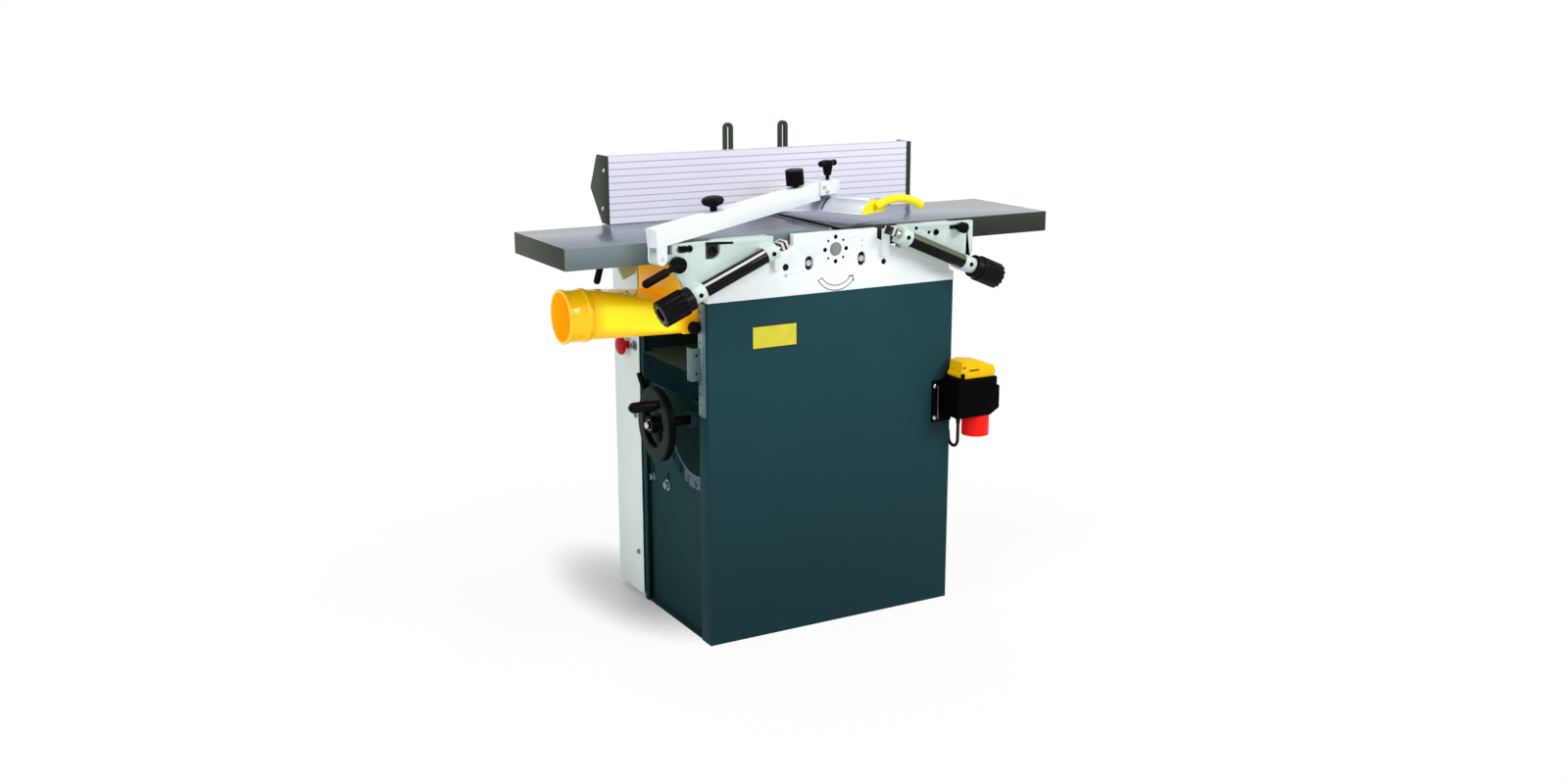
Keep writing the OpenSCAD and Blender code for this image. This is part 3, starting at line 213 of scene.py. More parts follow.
floor_finish.feed(floor_finish.tree.nodes["Material Output"].inputs["Surface"], floor_look)
floor_mesh = bpy.data.meshes.new("studio_floor")
floor_corners = [(-1, -1, 0), (1, -1, 0), (1, 1, 0), (-1, 1, 0)]
floor_mesh.from_pydata([Vector(corner) * FLOOR_REACH for corner in floor_corners], [], [(0, 1, 2, 3)])
floor_mesh.materials.append(floor_finish.material)
floor = placed("studio_floor", floor_mesh)
floor.location.z = -FLOOR_DROP

SKY_LIGHT = 0.46
world = bpy.data.worlds.new("studio")
world.use_nodes = True
scene.world = world
sky = Plan(world.node_tree)
backdrop = world.node_tree.nodes["Background"]
sky.feed(backdrop.inputs["Color"], WHITE)
sky.feed(backdrop.inputs["Strength"], SKY_LIGHT + (1 - SKY_LIGHT) * sky.seen())

# Each lamp: where it hangs, what it is aimed at, its width, its power, and if gloss shows it
LAMPS = {
    "key_lamp": ((2.0, -3.0, 2.7), (0.05, 0, 0.45), 1.5, 92, True),
    "fill_lamp": ((-3.4, -1.4, 1.9), (-0.2, 0, 0.5), 2.0, 42, True),
    "top_lamp": ((-0.25, -0.7, 3.4), (-0.1, -0.1, 0.6), 0.6, 26, True),
    "back_lamp": ((0.6, 3.4, 2.0), (0, 0, 0.6), 2.0, 40, False),
}
for lamp_name, (lamp_at, lamp_aim, lamp_width, lamp_power, lamp_shows) in LAMPS.items():
    lamp = aimed(lamp_name, bpy.data.lights.new(lamp_name, "AREA"), lamp_at, lamp_aim)
    lamp.data.size = lamp_width
    lamp.data.energy = lamp_power
    lamp.visible_glossy = lamp_shows


# Motor lead
# A black rubber-sheathed lead, 7 mm thick, that leaves the underside of the switch box through a
# tapered sleeve, hangs in a short loop and goes into the cabinet's edge. Both of its ends are held.
LEAD_ROUTE = [
    (294, -158, 409), (294, -158, 393), (294, -158, 371), (294, -158, 350), (294, -155.8, 341.8),
    (294, -149.8, 335.7), (294, -141.5, 333.5), (294, -133.2, 335.7), (294, -127.2, 341.8),
    (294, -125, 350), (293, -125, 361), (290, -125, 372), (286, -125, 380), (282, -125, 386),
]
LEAD_WIDTH = 7
LEAD_STEPS = 3
LEAD_SIDES = 4
MM = 0.001


def point(x, y, z):
    """A point given in millimetres, in the frame's metres."""
    return Vector((x, y, z)) * MM


def smooth_route(points, steps):
    """Points on one smooth curve through the given ones."""
    ends = [2 * points[0] - points[1], *points, 2 * points[-1] - points[-2]]
    route = []
    for k in range(len(points) - 1):
        a, b, c, d = ends[k:k + 4]
        for s in range(steps):
            t = s / steps
            square, cube = 2 * a - 5 * b + 4 * c - d, 3 * b - a - 3 * c + d
            route.append(0.5 * (2 * b + (c - a) * t + square * t * t + cube * t ** 3))
    return [*route, points[-1]]


def rubber(name):
    """Black moulded rubber, dull, with a fine grain and a little dust."""
    finish = Finish(name)
    dust = finish.noise(60, 3)
    grain = finish.noise(2600, 2)
    shade = finish.blend(dust, (0.003, 0.0032, 0.0035, 1), (0.008, 0.0085, 0.009, 1))
    return finish.surface(Base_Color=shade, Roughness=0.45 + 0.2 * dust,
                          Normal=finish.bump(grain, 0.00008), Specular_IOR_Level=0.25)


lead_path = smooth_route([point(*p) for p in LEAD_ROUTE], LEAD_STEPS)
lead_curve = bpy.data.curves.new("motor_lead", "CURVE")
lead_curve.dimensions = "3D"
lead_curve.bevel_depth = LEAD_WIDTH / 2 * MM
lead_curve.bevel_resolution = LEAD_SIDES
lead_curve.use_fill_caps = True
lead_spline = lead_curve.splines.new("POLY")
lead_spline.points.add(len(lead_path) - 1)
for spot, place in zip(lead_spline.points, lead_path):
    spot.co = (*place, 1)
lead_curve.materials.append(rubber("lead_rubber").material)
lead = placed("motor_lead", lead_curve)
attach(lead, "machine")
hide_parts("motor_cable")
lead_length = sum((b - a).length for a, b in zip(lead_path, lead_path[1:]))


# Cabinet
# Folded steel sheet, 3 mm thick: a front and a rear panel with return flanges, two end panels set
# back between them and a base plate. Spot welded, then sprayed dark blue-green in a satin coat.
bodies = frame["record"]["behaviour"]["bodies"]
body_of = {node: body for body, nodes in bodies.items() for node in nodes}
FLAT = math.radians(0.4)


def scaled(colour, share):
    """A colour made darker or lighter, up to white."""
    return (*[min(channel * share, 1) for channel in colour[:3]], 1)


def painted(name, colour, rough, peel=0.00006, foot_shade=1.0, foot_shade_height=0.5, shine=0.3):
    """Sprayed paint: a faint orange peel, a little unevenness, and, where asked for, a foot painted
    darker as shade.
    """
    finish = Finish(name)
    cloud = finish.noise(5, 3)
    film = finish.noise(420, 2)
    speck = finish.ease(finish.noise(900, 1), 0.70, 0.78)
    layer = finish.blend(cloud, scaled(colour, 0.90), scaled(colour, 1.08))
    if foot_shade < 1:
        foot_shade_rise = finish.ease(finish.along("Z"), 0.0, foot_shade_height)
        layer = finish.blend(foot_shade_rise, scaled(colour, foot_shade), layer)
    layer = finish.blend(speck * 0.05, layer, (0.5, 0.5, 0.5, 1))
    return finish.surface(Base_Color=layer, Roughness=rough + 0.10 * cloud + 0.08 * film,
                          Normal=finish.bump(film, peel), Specular_IOR_Level=shine)


def evaluated(made):
    """The mesh of an object with its modifiers applied."""
    view = bpy.context.evaluated_depsgraph_get()
    return bpy.data.meshes.new_from_object(made.evaluated_get(view))


def closed(bm, name):
    """Ends the editing of a mesh and hands the mesh back."""
    mesh = bpy.data.meshes.new(name)
    bm.to_mesh(mesh)
    bm.free()
    return mesh


def finish_piece(name, mesh, finish, body, radius=0.0, segments=2, sharp=32):
    """Puts a mesh in the scene as a piece of one body, its corners rounded by a small radius."""
    mesh.materials.clear()
    mesh.materials.append(finish.material)
    made = placed(name, mesh)
    if radius:
        corner = made.modifiers.new("corner", "BEVEL")
        corner.width = radius * MM
        corner.segments = segments
        corner.limit_method = "ANGLE"
        corner.angle_limit = math.radians(sharp)
        corner.use_clamp_overlap = True
        corner.miter_outer = "MITER_ARC"
        rounded = evaluated(made)
        made.modifiers.remove(corner)
        made.data = rounded
    for face in made.data.polygons:
        face.use_smooth = True
    made.data.set_sharp_from_angle(angle=math.radians(sharp))
    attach(made, body)
    return made


def flattened(bm):
    """Joins the triangles of each flat face."""
    bmesh.ops.dissolve_limit(bm, angle_limit=FLAT, verts=bm.verts, edges=bm.edges, delimit={"NORMAL"})


def merged(node):
    """A copy of a CAD node's mesh, with its loose triangles joined at their corners."""
    bm = bmesh.new()
    bm.from_mesh(frame["nodes"][node].data)
    bmesh.ops.remove_doubles(bm, verts=bm.verts, dist=2e-6)
    return bm


def softened(node, finish, radius, segments=2, sharp=32):
    """The node's own form with its corners rounded as a real one's are, in place of the node."""
    bm = merged(node)
    flattened(bm)
    name = node + "_made"
    made = finish_piece(name, closed(bm, name), finish, body_of[node],
                        radius, segments, sharp)
    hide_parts(node)


def coat(finish, *nodes):
    """Gives CAD nodes that keep their own form a finish."""
    for node in nodes:
        mesh = frame["nodes"][node].data
        mesh.materials.clear()
        mesh.materials.append(finish.material)


# The cabinet's outer and inner paints are painted darker towards the floor, as painted shade
cabinet_paint = painted("cabinet_paint", tint(32, 65, 71), 0.44, foot_shade=0.68, foot_shade_height=0.68,
                        shine=0.03)
inner_paint = painted("cabinet_inner_paint", tint(42, 72, 72), 0.50, foot_shade=0.75, shine=0.0)
for cabinet_node in ("front_panel", "rear_panel"):
    softened(cabinet_node, cabinet_paint, 1.6, 3)
for cabinet_node in ("left_end_panel", "right_end_panel"):
    softened(cabinet_node, inner_paint, 1.0)
coat(inner_paint, "base_plate")


# Bare plate on the front panel
# A thin sheet of yellow aluminium stuck to the front panel, with a fine dark line round it. It is
# plain here.
PLATE_MIDDLE = (-136.5, 612.5)
PLATE_SIZE = (101, 47)
PLATE_CORNER = 3
PLATE_THICK = 0.5
PLATE_LINE = 2.6
FRONT_FACE = -145
TO_RIGHT = (1, 0, 0)
UP = (0, 0, 1)


def skin(bm, rows):
    """Faces between each ring of corners and the next, where a ring of one corner is a tip."""
    for low, high in zip(rows, rows[1:]):
        sides = max(len(low), len(high))
        for k in range(sides):
            n = (k + 1) % sides
            corners = low[k % len(low)], low[n % len(low)], high[n % len(high)], high[k % len(high)]
            bm.faces.new(list(dict.fromkeys(corners)))


def capped(bm, rows, name):
    """A closed mesh of rings of corners, with a face over the first one and the last."""
    skin(bm, rows)
    bm.faces.new(rows[0][::-1])
    bm.faces.new(rows[-1])
    bmesh.ops.recalc_face_normals(bm, faces=bm.faces)
    return closed(bm, name)


def slab(outline, origin, thick, across=TO_RIGHT, up=UP):
    """An outline in millimetres on a plane, given a thickness towards the plane's outside."""
    bm = bmesh.new()
    across, up = Vector(across).normalized(), Vector(up).normalized()
    out = across.cross(up) * thick * MM
    back = [bm.verts.new(point(*origin) + (across * a + up * b) * MM) for a, b in outline]
    front = [bm.verts.new(v.co + out) for v in back]
    return capped(bm, [back, front], "slab")


def rounded_box(width, height, corner, steps=5):
    """Outline of a rectangle with round corners, about its middle."""
    outline = []
    for turn, (sx, sy) in enumerate(((1, 1), (-1, 1), (-1, -1), (1, -1))):
        for k in range(steps + 1):
            angle = math.radians(90 * turn + 90 * k / steps)
            outline.append((sx * (width / 2 - corner) + corner * math.cos(angle),
                            sy * (height / 2 - corner) + corner * math.sin(angle)))
    return outline


plate_paint = Finish("plate_paint")
plate_cloud = plate_paint.noise(40, 3)
plate_edge_x, plate_edge_z = [
    (plate_paint.along(axis) - middle * MM).size() > (size / 2 - PLATE_LINE) * MM
    for axis, middle, size in zip("XZ", PLATE_MIDDLE, PLATE_SIZE)]
plate_line = plate_edge_x.maths("MAXIMUM", plate_edge_z)
plate_yellow = plate_paint.blend(plate_cloud, tint(196, 186, 44), tint(222, 212, 66))
plate_paint.surface(Base_Color=plate_paint.blend(plate_line, plate_yellow, tint(38, 48, 36)),
                    Roughness=0.35 + 0.15 * plate_cloud, Specular_IOR_Level=0.2)
plate_mesh = slab(rounded_box(*PLATE_SIZE, PLATE_CORNER),
                  (PLATE_MIDDLE[0], FRONT_FACE, PLATE_MIDDLE[1]), PLATE_THICK)
finish_piece("bare_plate", plate_mesh, plate_paint, "machine", 0.15, 1)


# Drive cover and its screws
# A deep folded box of light grey sheet over the belt and chains at the back, held to the cabinet
# by small hex screws on its edge; larger bolts hold the lift inside the left end panel.
cover_paint = painted("cover_paint", tint(222, 236, 232), 0.42)
softened("drive_cover", cover_paint, 3.0, 3)


def metal(name, colour, rough, grain=(1, 1, 1), scale=500, depth=0.00003, tarnish=0.3, bare=1.0):
    """Machined or plated metal with fine tool lines along one direction."""
    finish = Finish(name)
    lines = finish.noise(scale, 3, grain)
    cloud = finish.noise(18, 3)
    shade = finish.blend(0.5 * lines + 0.5 * cloud, scaled(colour, 1 - tarnish), colour)
    return finish.surface(Base_Color=shade, Roughness=rough + 0.16 * (lines - 0.5) + 0.10 * cloud,
                          Normal=finish.bump(lines, depth), Metallic=bare)


bright_steel = metal("bright_steel", (0.66, 0.69, 0.71, 1), 0.22)
plated_steel = metal("plated_steel", tint(128, 156, 156), 0.34)
softened("panel_bolts", plated_steel, 0.4)


# Side cheeks with the cutterblock's seat
# Two iron castings, milled on their inclined ways and painted a cool white. The front one has a ring
# of screw holes round the shaft end, oblong slots for the feed rollers and a printed turning arrow.
cheek_paint = painted("cheek_paint", tint(229, 237, 239), 0.36, 0.00009)
softened("front_cheek", cheek_paint, 1.2)
softened("rear_cheek", cheek_paint, 1.2)
coat(bright_steel, "cutter_block", "cutter_knives")
CUTTER_Z = 771
RING_RADIUS = 24
TO_FRONT = (0, -1, 0)


def polar(corners):
    """Points given by radius and angle, as pairs across and up."""
    return [(radius * math.cos(a), radius * math.sin(a)) for radius, a in corners]


def ring(radius, sides, start=0.0):
    """Points round a circle."""
    return polar([(radius, start + 2 * math.pi * k / sides) for k in range(sides)])


def turned(profile, base, axis, sides=40):
    """A form turned on a lathe: radius and height pairs in millimetres, from a base along an axis."""
    bm = bmesh.new()
    axis = Vector(axis).normalized()
    side = axis.orthogonal().normalized()
    other = axis.cross(side)
    rows = []
    for radius, height in profile:
        centre = point(*base) + axis * height * MM
        if radius == 0:
            rows.append([bm.verts.new(centre)])
        else:
            spots = [centre + (side * a + other * b) * MM for a, b in ring(radius, sides)]
            rows.append([bm.verts.new(spot) for spot in spots])
    skin(bm, rows)
    bmesh.ops.remove_doubles(bm, verts=bm.verts, dist=1e-7)
    bmesh.ops.recalc_face_normals(bm, faces=bm.faces)
    return closed(bm, "turned")


def joined(name, meshes):
    """Several meshes as one."""
    bm = bmesh.new()
    for mesh in meshes:
        bm.from_mesh(mesh)
        bpy.data.meshes.remove(mesh)
    return closed(bm, name)


# A cap screw's rings: share of its radius and of its height, and if the ring is a hexagon
CAP_SCREW = ((0.98, 0.0, False), (1.0, 0.15, False), (1.0, 0.8, False), (0.86, 1.0, False),
             (0.62, 1.0, False), (0.55, 0.92, True), (0.55, 0.3, True))
SCREW_SIDES = 24
HEX_NUT = ((1.0, 0.0), (1.0, 0.75), (0.88, 1.0))


def socket_screw(radius, height):
    """A cap screw standing on the origin along +Z, with a hexagon socket sunk into its head."""
    bm = bmesh.new()
    rows = []
    for share, level, hexagon in CAP_SCREW:
        spots = []
        for k in range(SCREW_SIDES):
            angle = 2 * math.pi * k / SCREW_SIDES
            reach = radius * share
            if hexagon:
                reach *= math.cos(math.pi / 6) / math.cos(angle % (math.pi / 3) - math.pi / 6)
            spots.append(point(reach * math.cos(angle), reach * math.sin(angle), height * level))
        rows.append([bm.verts.new(spot) for spot in spots])
    return capped(bm, rows, "socket_screw")


def hex_nut(radius, height):
    """A chamfered hexagon standing on the origin along +Z."""
    bm = bmesh.new()
    rows = [[bm.verts.new(point(a, b, height * level)) for a, b in ring(radius * share, 6)]
            for share, level in HEX_NUT]
    return capped(bm, rows, "hex_nut")


def new_tree(name, **inputs):
    """A geometry tree with one geometry in and out, and named inputs for its sizes."""
    tree = bpy.data.node_groups.new(name, "GeometryNodeTree")
    for way in ("INPUT", "OUTPUT"):
        tree.interface.new_socket("Geometry", in_out=way, socket_type="NodeSocketGeometry")
    for label, kind in inputs.items():
        tree.interface.new_socket(label, in_out="INPUT", socket_type="NodeSocket" + kind)
    return Plan(tree)


def given(plan, label):
    """One of the named inputs of a geometry tree."""
    return plan.node("NodeGroupInput", {}, {}, label)


def kept_on_points(plan, label):
    """A direction or turn that each point of the mesh carries under a label."""
    return plan.node("GeometryNodeInputNamedAttribute", {"data_type": "FLOAT_VECTOR"}, {"Name": label})


def set_on_points(plan, **sockets):
    """Ends a geometry tree: a pattern set on each point, made real and given its material."""
    points = {"Points": given(plan, "Geometry"), **sockets}
    real = plan.node("GeometryNodeRealizeInstances", {}, {
        "Geometry": plan.node("GeometryNodeInstanceOnPoints", {}, points)})
    coated = plan.node("GeometryNodeSetMaterial", {}, {
        "Geometry": real, "Material": given(plan, "Material")})
    plan.feed(plan.tree.nodes.new("NodeGroupOutput").inputs[0], coated)


def grown(name, plan, label, spots, ways, **values):
    """The plain mesh that a geometry tree makes on spots in millimetres, each with its direction."""
    dots = bpy.data.meshes.new(name + "_dots")
    dots.from_pydata([point(*spot) for spot in spots], [], [])
    carried = dots.attributes.new(label, "FLOAT_VECTOR", "POINT")
    for mark, way in zip(carried.data, ways):
        mark.vector = way
    host = placed(name, dots)
    maker = host.modifiers.new("maker", "NODES")
    maker.node_group = plan.tree
    for item in plan.tree.interface.items_tree:
        if item.in_out == "INPUT" and item.name in values:
            maker[item.identifier] = values[item.name]
    plain = evaluated(host)
    host.modifiers.remove(maker)
    bpy.data.objects.remove(host)
    plain.name = name
    return plain


# Every fastener of one kind on one body comes from one run of this tree: a pattern piece is set on
# each point, turned so that it stands along the point's own direction.
fastener_tree = new_tree("fasteners", Pattern="Object", Material="Material")
fastener_turn = fastener_tree.node("FunctionNodeAlignEulerToVector", {"axis": "Z"}, {
    "Vector": kept_on_points(fastener_tree, "stands")})
fastener_shape = fastener_tree.node("GeometryNodeObjectInfo", {}, {
    "Object": given(fastener_tree, "Pattern")}, "Geometry")
set_on_points(fastener_tree, Instance=fastener_shape, Rotation=fastener_turn)


def fasteners(name, pattern_mesh, way, spots, finish, body):
    """Sets one fastener on each spot, given in millimetres, standing in one direction."""
    pattern = placed(name + "_pattern", pattern_mesh)
    plain = grown(name, fastener_tree, "stands", spots, [way] * len(spots),
                  Pattern=pattern, Material=finish.material)
    bpy.data.objects.remove(pattern)
    finish_piece(name, plain, finish, body, sharp=40)


black_steel = metal("black_steel", (0.016, 0.017, 0.017, 1), 0.36, tarnish=0.4)
coat(black_steel, "bearings", "tie_bars")
screw_black = painted("screw_black", tint(10, 11, 10), 0.45, shine=0.04)
# The ring's screws, and the dowels between them: how far each is sunk in, and the turn of its ring
for ring_name, ring_screw, ring_sunk, ring_turn in (
        ("cheek_screws", socket_screw(5.0, 1.8), 3, 0),
        ("cheek_dowels", socket_screw(2.3, 1.2), 0.8, math.pi / 4)):
    ring_spots = [(x, FRONT_FACE + ring_sunk, CUTTER_Z + z) for x, z in ring(RING_RADIUS, 4, ring_turn)]
    fasteners(ring_name, ring_screw, TO_FRONT, ring_spots, screw_black, "machine")

hub_steel = metal("hub_steel", (0.34, 0.36, 0.32, 1), 0.26)
SHAFT_PROFILE = [(0, 1.4), (2.0, 1.4), (2.6, 2.2), (8.0, 2.2), (8.8, 1.6), (9.0, 0.6), (11.4, 0.6),
                 (11.7, 0.0), (0, 0.0)]
SHAFT_SUNK = 2
shaft_mesh = turned(SHAFT_PROFILE, (0, FRONT_FACE + SHAFT_SUNK, CUTTER_Z), TO_FRONT)
finish_piece("shaft_end", shaft_mesh, hub_steel, "cutterblock", sharp=25)

ARROW_MIDDLE = (2, 739.5)
ARROW_RADII = (39, 50.5)
ARROW_ANGLES = (213, 318, 331)
# How far each of these angles moves, in radians, for a millimetre of inset
ARROW_DRAWN = (1 / 44, -1 / 60, -1.6 / 44)
ARROW_BARB = 3.6
ARROW_STEPS = 22
ARROW_LINE = 1.7


def arrow_outline(inset):
    """A bent arrow that runs under the shaft from left to right, drawn in by an inset."""
    inner, outer = ARROW_RADII[0] + inset, ARROW_RADII[1] - inset
    start, neck, tip = [math.radians(angle) + drawn * inset
                        for angle, drawn in zip(ARROW_ANGLES, ARROW_DRAWN)]
    bends = [start + (neck - start) * k / ARROW_STEPS for k in range(ARROW_STEPS + 1)]
    middle = sum(ARROW_RADII) / 2
    barb = (outer - inner) / 2 + ARROW_BARB - inset
    corners = [(outer, a) for a in bends]
    corners += [(middle + barb, neck), (middle, tip), (middle - barb, neck)]
    corners += [(inner, a) for a in bends[::-1]]
    return polar(corners)


arrow_dark = painted("arrow_line", tint(52, 46, 54), 0.5, shine=0.1)
arrow_pale = painted("arrow_fill", tint(238, 228, 232), 0.5)
arrow_origin = (ARROW_MIDDLE[0], FRONT_FACE, ARROW_MIDDLE[1])
for arrow_name, arrow_inset, arrow_thick, arrow_finish in (
        ("arrow_line", 0, 0.12, arrow_dark), ("arrow_fill", ARROW_LINE, 0.2, arrow_pale)):
    arrow_mesh = slab(arrow_outline(arrow_inset), arrow_origin, arrow_thick)
    finish_piece(arrow_name, arrow_mesh, arrow_finish, "machine")


# Depth scale and dial
# A strip of etched stainless steel on the cabinet's left flange, ruled in millimetres for the
# thicknessing table, and a printed dial on the end panel behind the handwheel.
STRIP_FACE = -283.2
STRIP_Z = (468, 680)
STRIP_Y = -136
STRIP_EDGE = -276
STRIP_TEN = 20
STRIP_STEP = 2
STRIP_MARKS_IN = 1
STRIP_TEXT_IN = 22
STRIP_TEXT = 7.5
DIAL_FACE = -269.5
DIAL_MIDDLE = (-60, 445)
DIAL_RING = (117, 144)
DIAL_SPAN = (-101, -40)
DIAL_STEPS = 48
DIAL_THICK = 0.5
DIAL_RIM = (-0.6, 1.6)
DIAL_RIM_THICK = 0.8
DIAL_TICKS = 19
DIAL_TICK = 3
DIAL_TEXT = 24
DIAL_TEXT_RADIUS = 134
DIAL_TEXT_START = 9
DIAL_TEXT_STEP = 15
DIAL_NUMBERS = range(4, 8)
TO_LEFT = (-1, 0, 0)
MARK_THICK = 0.2
TEXT_THICK = 0.08
TEXT_LIFT = 0.05
scale_plates = Finish("scale_plates")
scale_lines = scale_plates.noise(120, 3, (1, 1, 30))
scale_strip = scale_plates.along("X") < STRIP_EDGE * MM
strip_steel = scale_plates.blend(scale_lines, tint(112, 142, 147), tint(146, 172, 177))
dial_dark = scale_plates.blend(scale_lines, tint(22, 38, 36), tint(34, 54, 52))
scale_plates.surface(Base_Color=scale_plates.blend(scale_strip, dial_dark, strip_steel),
                     Metallic=0.4 * scale_strip, Roughness=0.5 - 0.12 * scale_strip,
                     Normal=scale_plates.bump(scale_lines, 0.00003), Specular_IOR_Level=0.0)
softened("scales", scale_plates, 0.3, 1)
ink = painted("scale_ink", tint(12, 14, 15), 0.5, shine=0.0)

# Ruled marks: one thin bar for each point, longer at each fifth and longest at each tenth
mark_tree = new_tree("ruled_marks", Thick="Float", Width="Float", Length="Float", Material="Material")
mark_count = mark_tree.node("GeometryNodeInputIndex", {}, {})
mark_reach = 1 + 0.45 * ((mark_count % 5 < 0.5) + (mark_count % 10 < 0.5))
mark_size = mark_tree.node("ShaderNodeCombineXYZ", {}, {
    0: given(mark_tree, "Length"), 1: given(mark_tree, "Width"), 2: given(mark_tree, "Thick")})
mark_shift = mark_tree.node("ShaderNodeCombineXYZ", {}, {0: given(mark_tree, "Length") * 0.5})
mark_bar = mark_tree.node("GeometryNodeTransform", {}, {
    "Geometry": mark_tree.node("GeometryNodeMeshCube", {}, {"Size": mark_size}),
    "Translation": mark_shift})
mark_scale = mark_tree.node("ShaderNodeCombineXYZ", {}, {0: mark_reach, 1: 1.0, 2: 1.0})
set_on_points(mark_tree, Instance=mark_bar, Rotation=kept_on_points(mark_tree, "turn"),
              Scale=mark_scale)


def upright(across, up):
    """The turn of a flat piece whose own X and Y lie across and up."""
    across, up = Vector(across).normalized(), Vector(up).normalized()
    return Matrix((across, up, across.cross(up))).transposed()


def ruled(name, spots, ways, length, width):
    """Ruled marks at spots in millimetres, each with the way that it runs, on a face towards -X."""
    turns = [upright(way, Vector(TO_LEFT).cross(Vector(way))).to_euler() for way in ways]
    plain = grown(name, mark_tree, "turn", spots, turns, Thick=MARK_THICK * MM, Width=width * MM,
                  Length=length * MM, Material=ink.material)
    finish_piece(name, plain, ink, "machine")


def numerals(name, words):
    """Plain numbers as thin raised ink: text, height, middle, and the ways across and up."""
    meshes = []
    for text, height, spot, across, up in words:
        curve = bpy.data.curves.new(name, "FONT")
        curve.body = text
        curve.align_x = "CENTER"
        curve.align_y = "CENTER"
        curve.size = height * MM
        curve.extrude = TEXT_THICK * MM
        curve.resolution_u = 3
        writer = placed(name, curve)
        mesh = evaluated(writer)
        mesh.transform(Matrix.Translation(point(*spot)) @ upright(across, up).to_4x4())
        meshes.append(mesh)
        bpy.data.objects.remove(writer)
    finish_piece(name, joined(name, meshes), ink, "machine")


strip_heights = range(STRIP_Z[0], STRIP_Z[1] + 1, STRIP_STEP)
strip_spots = [(STRIP_FACE, STRIP_Y + STRIP_MARKS_IN, z) for z in strip_heights]
ruled("strip_marks", strip_spots, [(0, 1, 0)] * len(strip_spots), 8, 0.45)
strip_words = []
for strip_ten in range(1, 11):
    strip_height = STRIP_Z[0] + STRIP_TEN * strip_ten
    strip_spot = (STRIP_FACE - TEXT_LIFT, STRIP_Y + STRIP_TEXT_IN, strip_height)
    strip_words.append((str(10 * strip_ten), STRIP_TEXT, strip_spot, TO_FRONT, UP))
numerals("strip_numbers", strip_words)


def dial_band(inner, outer, thick):
    """A bent band of the dial between two radii, on the end panel."""
    step = (DIAL_SPAN[1] - DIAL_SPAN[0]) / DIAL_STEPS
    bends = [math.radians(DIAL_SPAN[0] + step * k) for k in range(DIAL_STEPS + 1)]
    corners = [(outer, a) for a in bends] + [(inner, a) for a in bends[::-1]]
    outline = [(-a, b) for a, b in polar(corners)]
    return slab(outline, (DIAL_FACE, *DIAL_MIDDLE), thick, TO_FRONT)


def on_dial(angle, radius, lift):
    """A point of the dial, and the way out from its middle there."""
    way = (0, math.cos(math.radians(angle)), math.sin(math.radians(angle)))
    return (DIAL_FACE - lift, *[m + w * radius for m, w in zip(DIAL_MIDDLE, way[1:])]), way


dial_paint = Finish("dial_band")
dial_cloud = dial_paint.noise(60, 3)
# The band is painted lighter towards the front, as painted light
dial_painted_light = dial_paint.ease(dial_paint.along("Y") * -1, 0.006, 0.022)
dial_paint.surface(Base_Color=dial_paint.blend(dial_painted_light, tint(30, 58, 60), tint(92, 108, 118)),
                   Roughness=0.42 + 0.1 * dial_cloud, Specular_IOR_Level=0.0)
band_mesh = dial_band(*DIAL_RING, DIAL_THICK)
finish_piece("dial_band", band_mesh, dial_paint, "machine", 0.2, 1)
dial_rim = painted("dial_rim", tint(112, 132, 132), 0.45, shine=0.1)
rim_mesh = dial_band(*[DIAL_RING[0] + edge for edge in DIAL_RIM], DIAL_RIM_THICK)
finish_piece("dial_rim", rim_mesh, dial_rim, "machine")
dial_ticks = [on_dial(DIAL_SPAN[0] + DIAL_TICK * (k + 1), DIAL_RING[0] + 1, DIAL_THICK)
              for k in range(DIAL_TICKS)]
ruled("dial_marks", [spot for spot, _ in dial_ticks], [way for _, way in dial_ticks], 3, 0.7)
dial_words = []
for place, number in enumerate(DIAL_NUMBERS):
    dial_angle = DIAL_SPAN[0] + DIAL_TEXT_START + DIAL_TEXT_STEP * place
    dial_spot, dial_way = on_dial(dial_angle, DIAL_TEXT_RADIUS, DIAL_THICK + TEXT_LIFT)
    dial_side = (0, -dial_way[2], dial_way[1])
    dial_words.append((str(number), DIAL_TEXT, dial_spot, dial_side, dial_way))
numerals("dial_numbers", dial_words)


# Drive inside the cabinet
# A finned motor on a welded bracket, grooved pulleys with their ribbed belt, and two feed chains
# from a small shaft to the rollers. Nothing here shows until a cover comes off.
dark_iron = Finish("dark_iron")
iron_cast = dark_iron.noise(260, 4)
iron_cloud = dark_iron.noise(14, 3)
iron_shade = dark_iron.blend(iron_cloud, tint(58, 68, 70), tint(84, 96, 98))
dark_iron.surface(Base_Color=iron_shade, Metallic=0.35, Roughness=0.5 + 0.2 * iron_cast,
                  Normal=dark_iron.bump(iron_cast, 0.0003))
dark_steel = metal("dark_steel", (0.20, 0.21, 0.22, 1), 0.34)
coat(dark_iron, "lift_housing", "motor", "motor_mount")
coat(dark_steel, "cutter_pulley", "motor_pulley", "feed_sprocket", "feed_chain", "nut_gear",
     "kickback_fingers")
coat(bright_steel, "infeed_roller", "outfeed_roller", "lift_columns")
coat(rubber("belt_rubber"), "drive_belt")


# Thicknessing table and its pointer
# A ribbed iron casting with a ground top, lifted by one screw and two posts, its sides and end painted
# very dark as painted shade. A bent strip of bright steel on its corner points to the depth scale.
THICK_TOP = 0.552
RIM_DEPTH = 0.045
POINTER_MIDDLE = (-294.2, 568)
POINTER_SIZE = (17.6, 63)
POINTER_FACE = -121
POINTER_THICK = 1.4
POINTER_HOLES = [(-294, POINTER_FACE + 0.4, z) for z in (550, 586)]


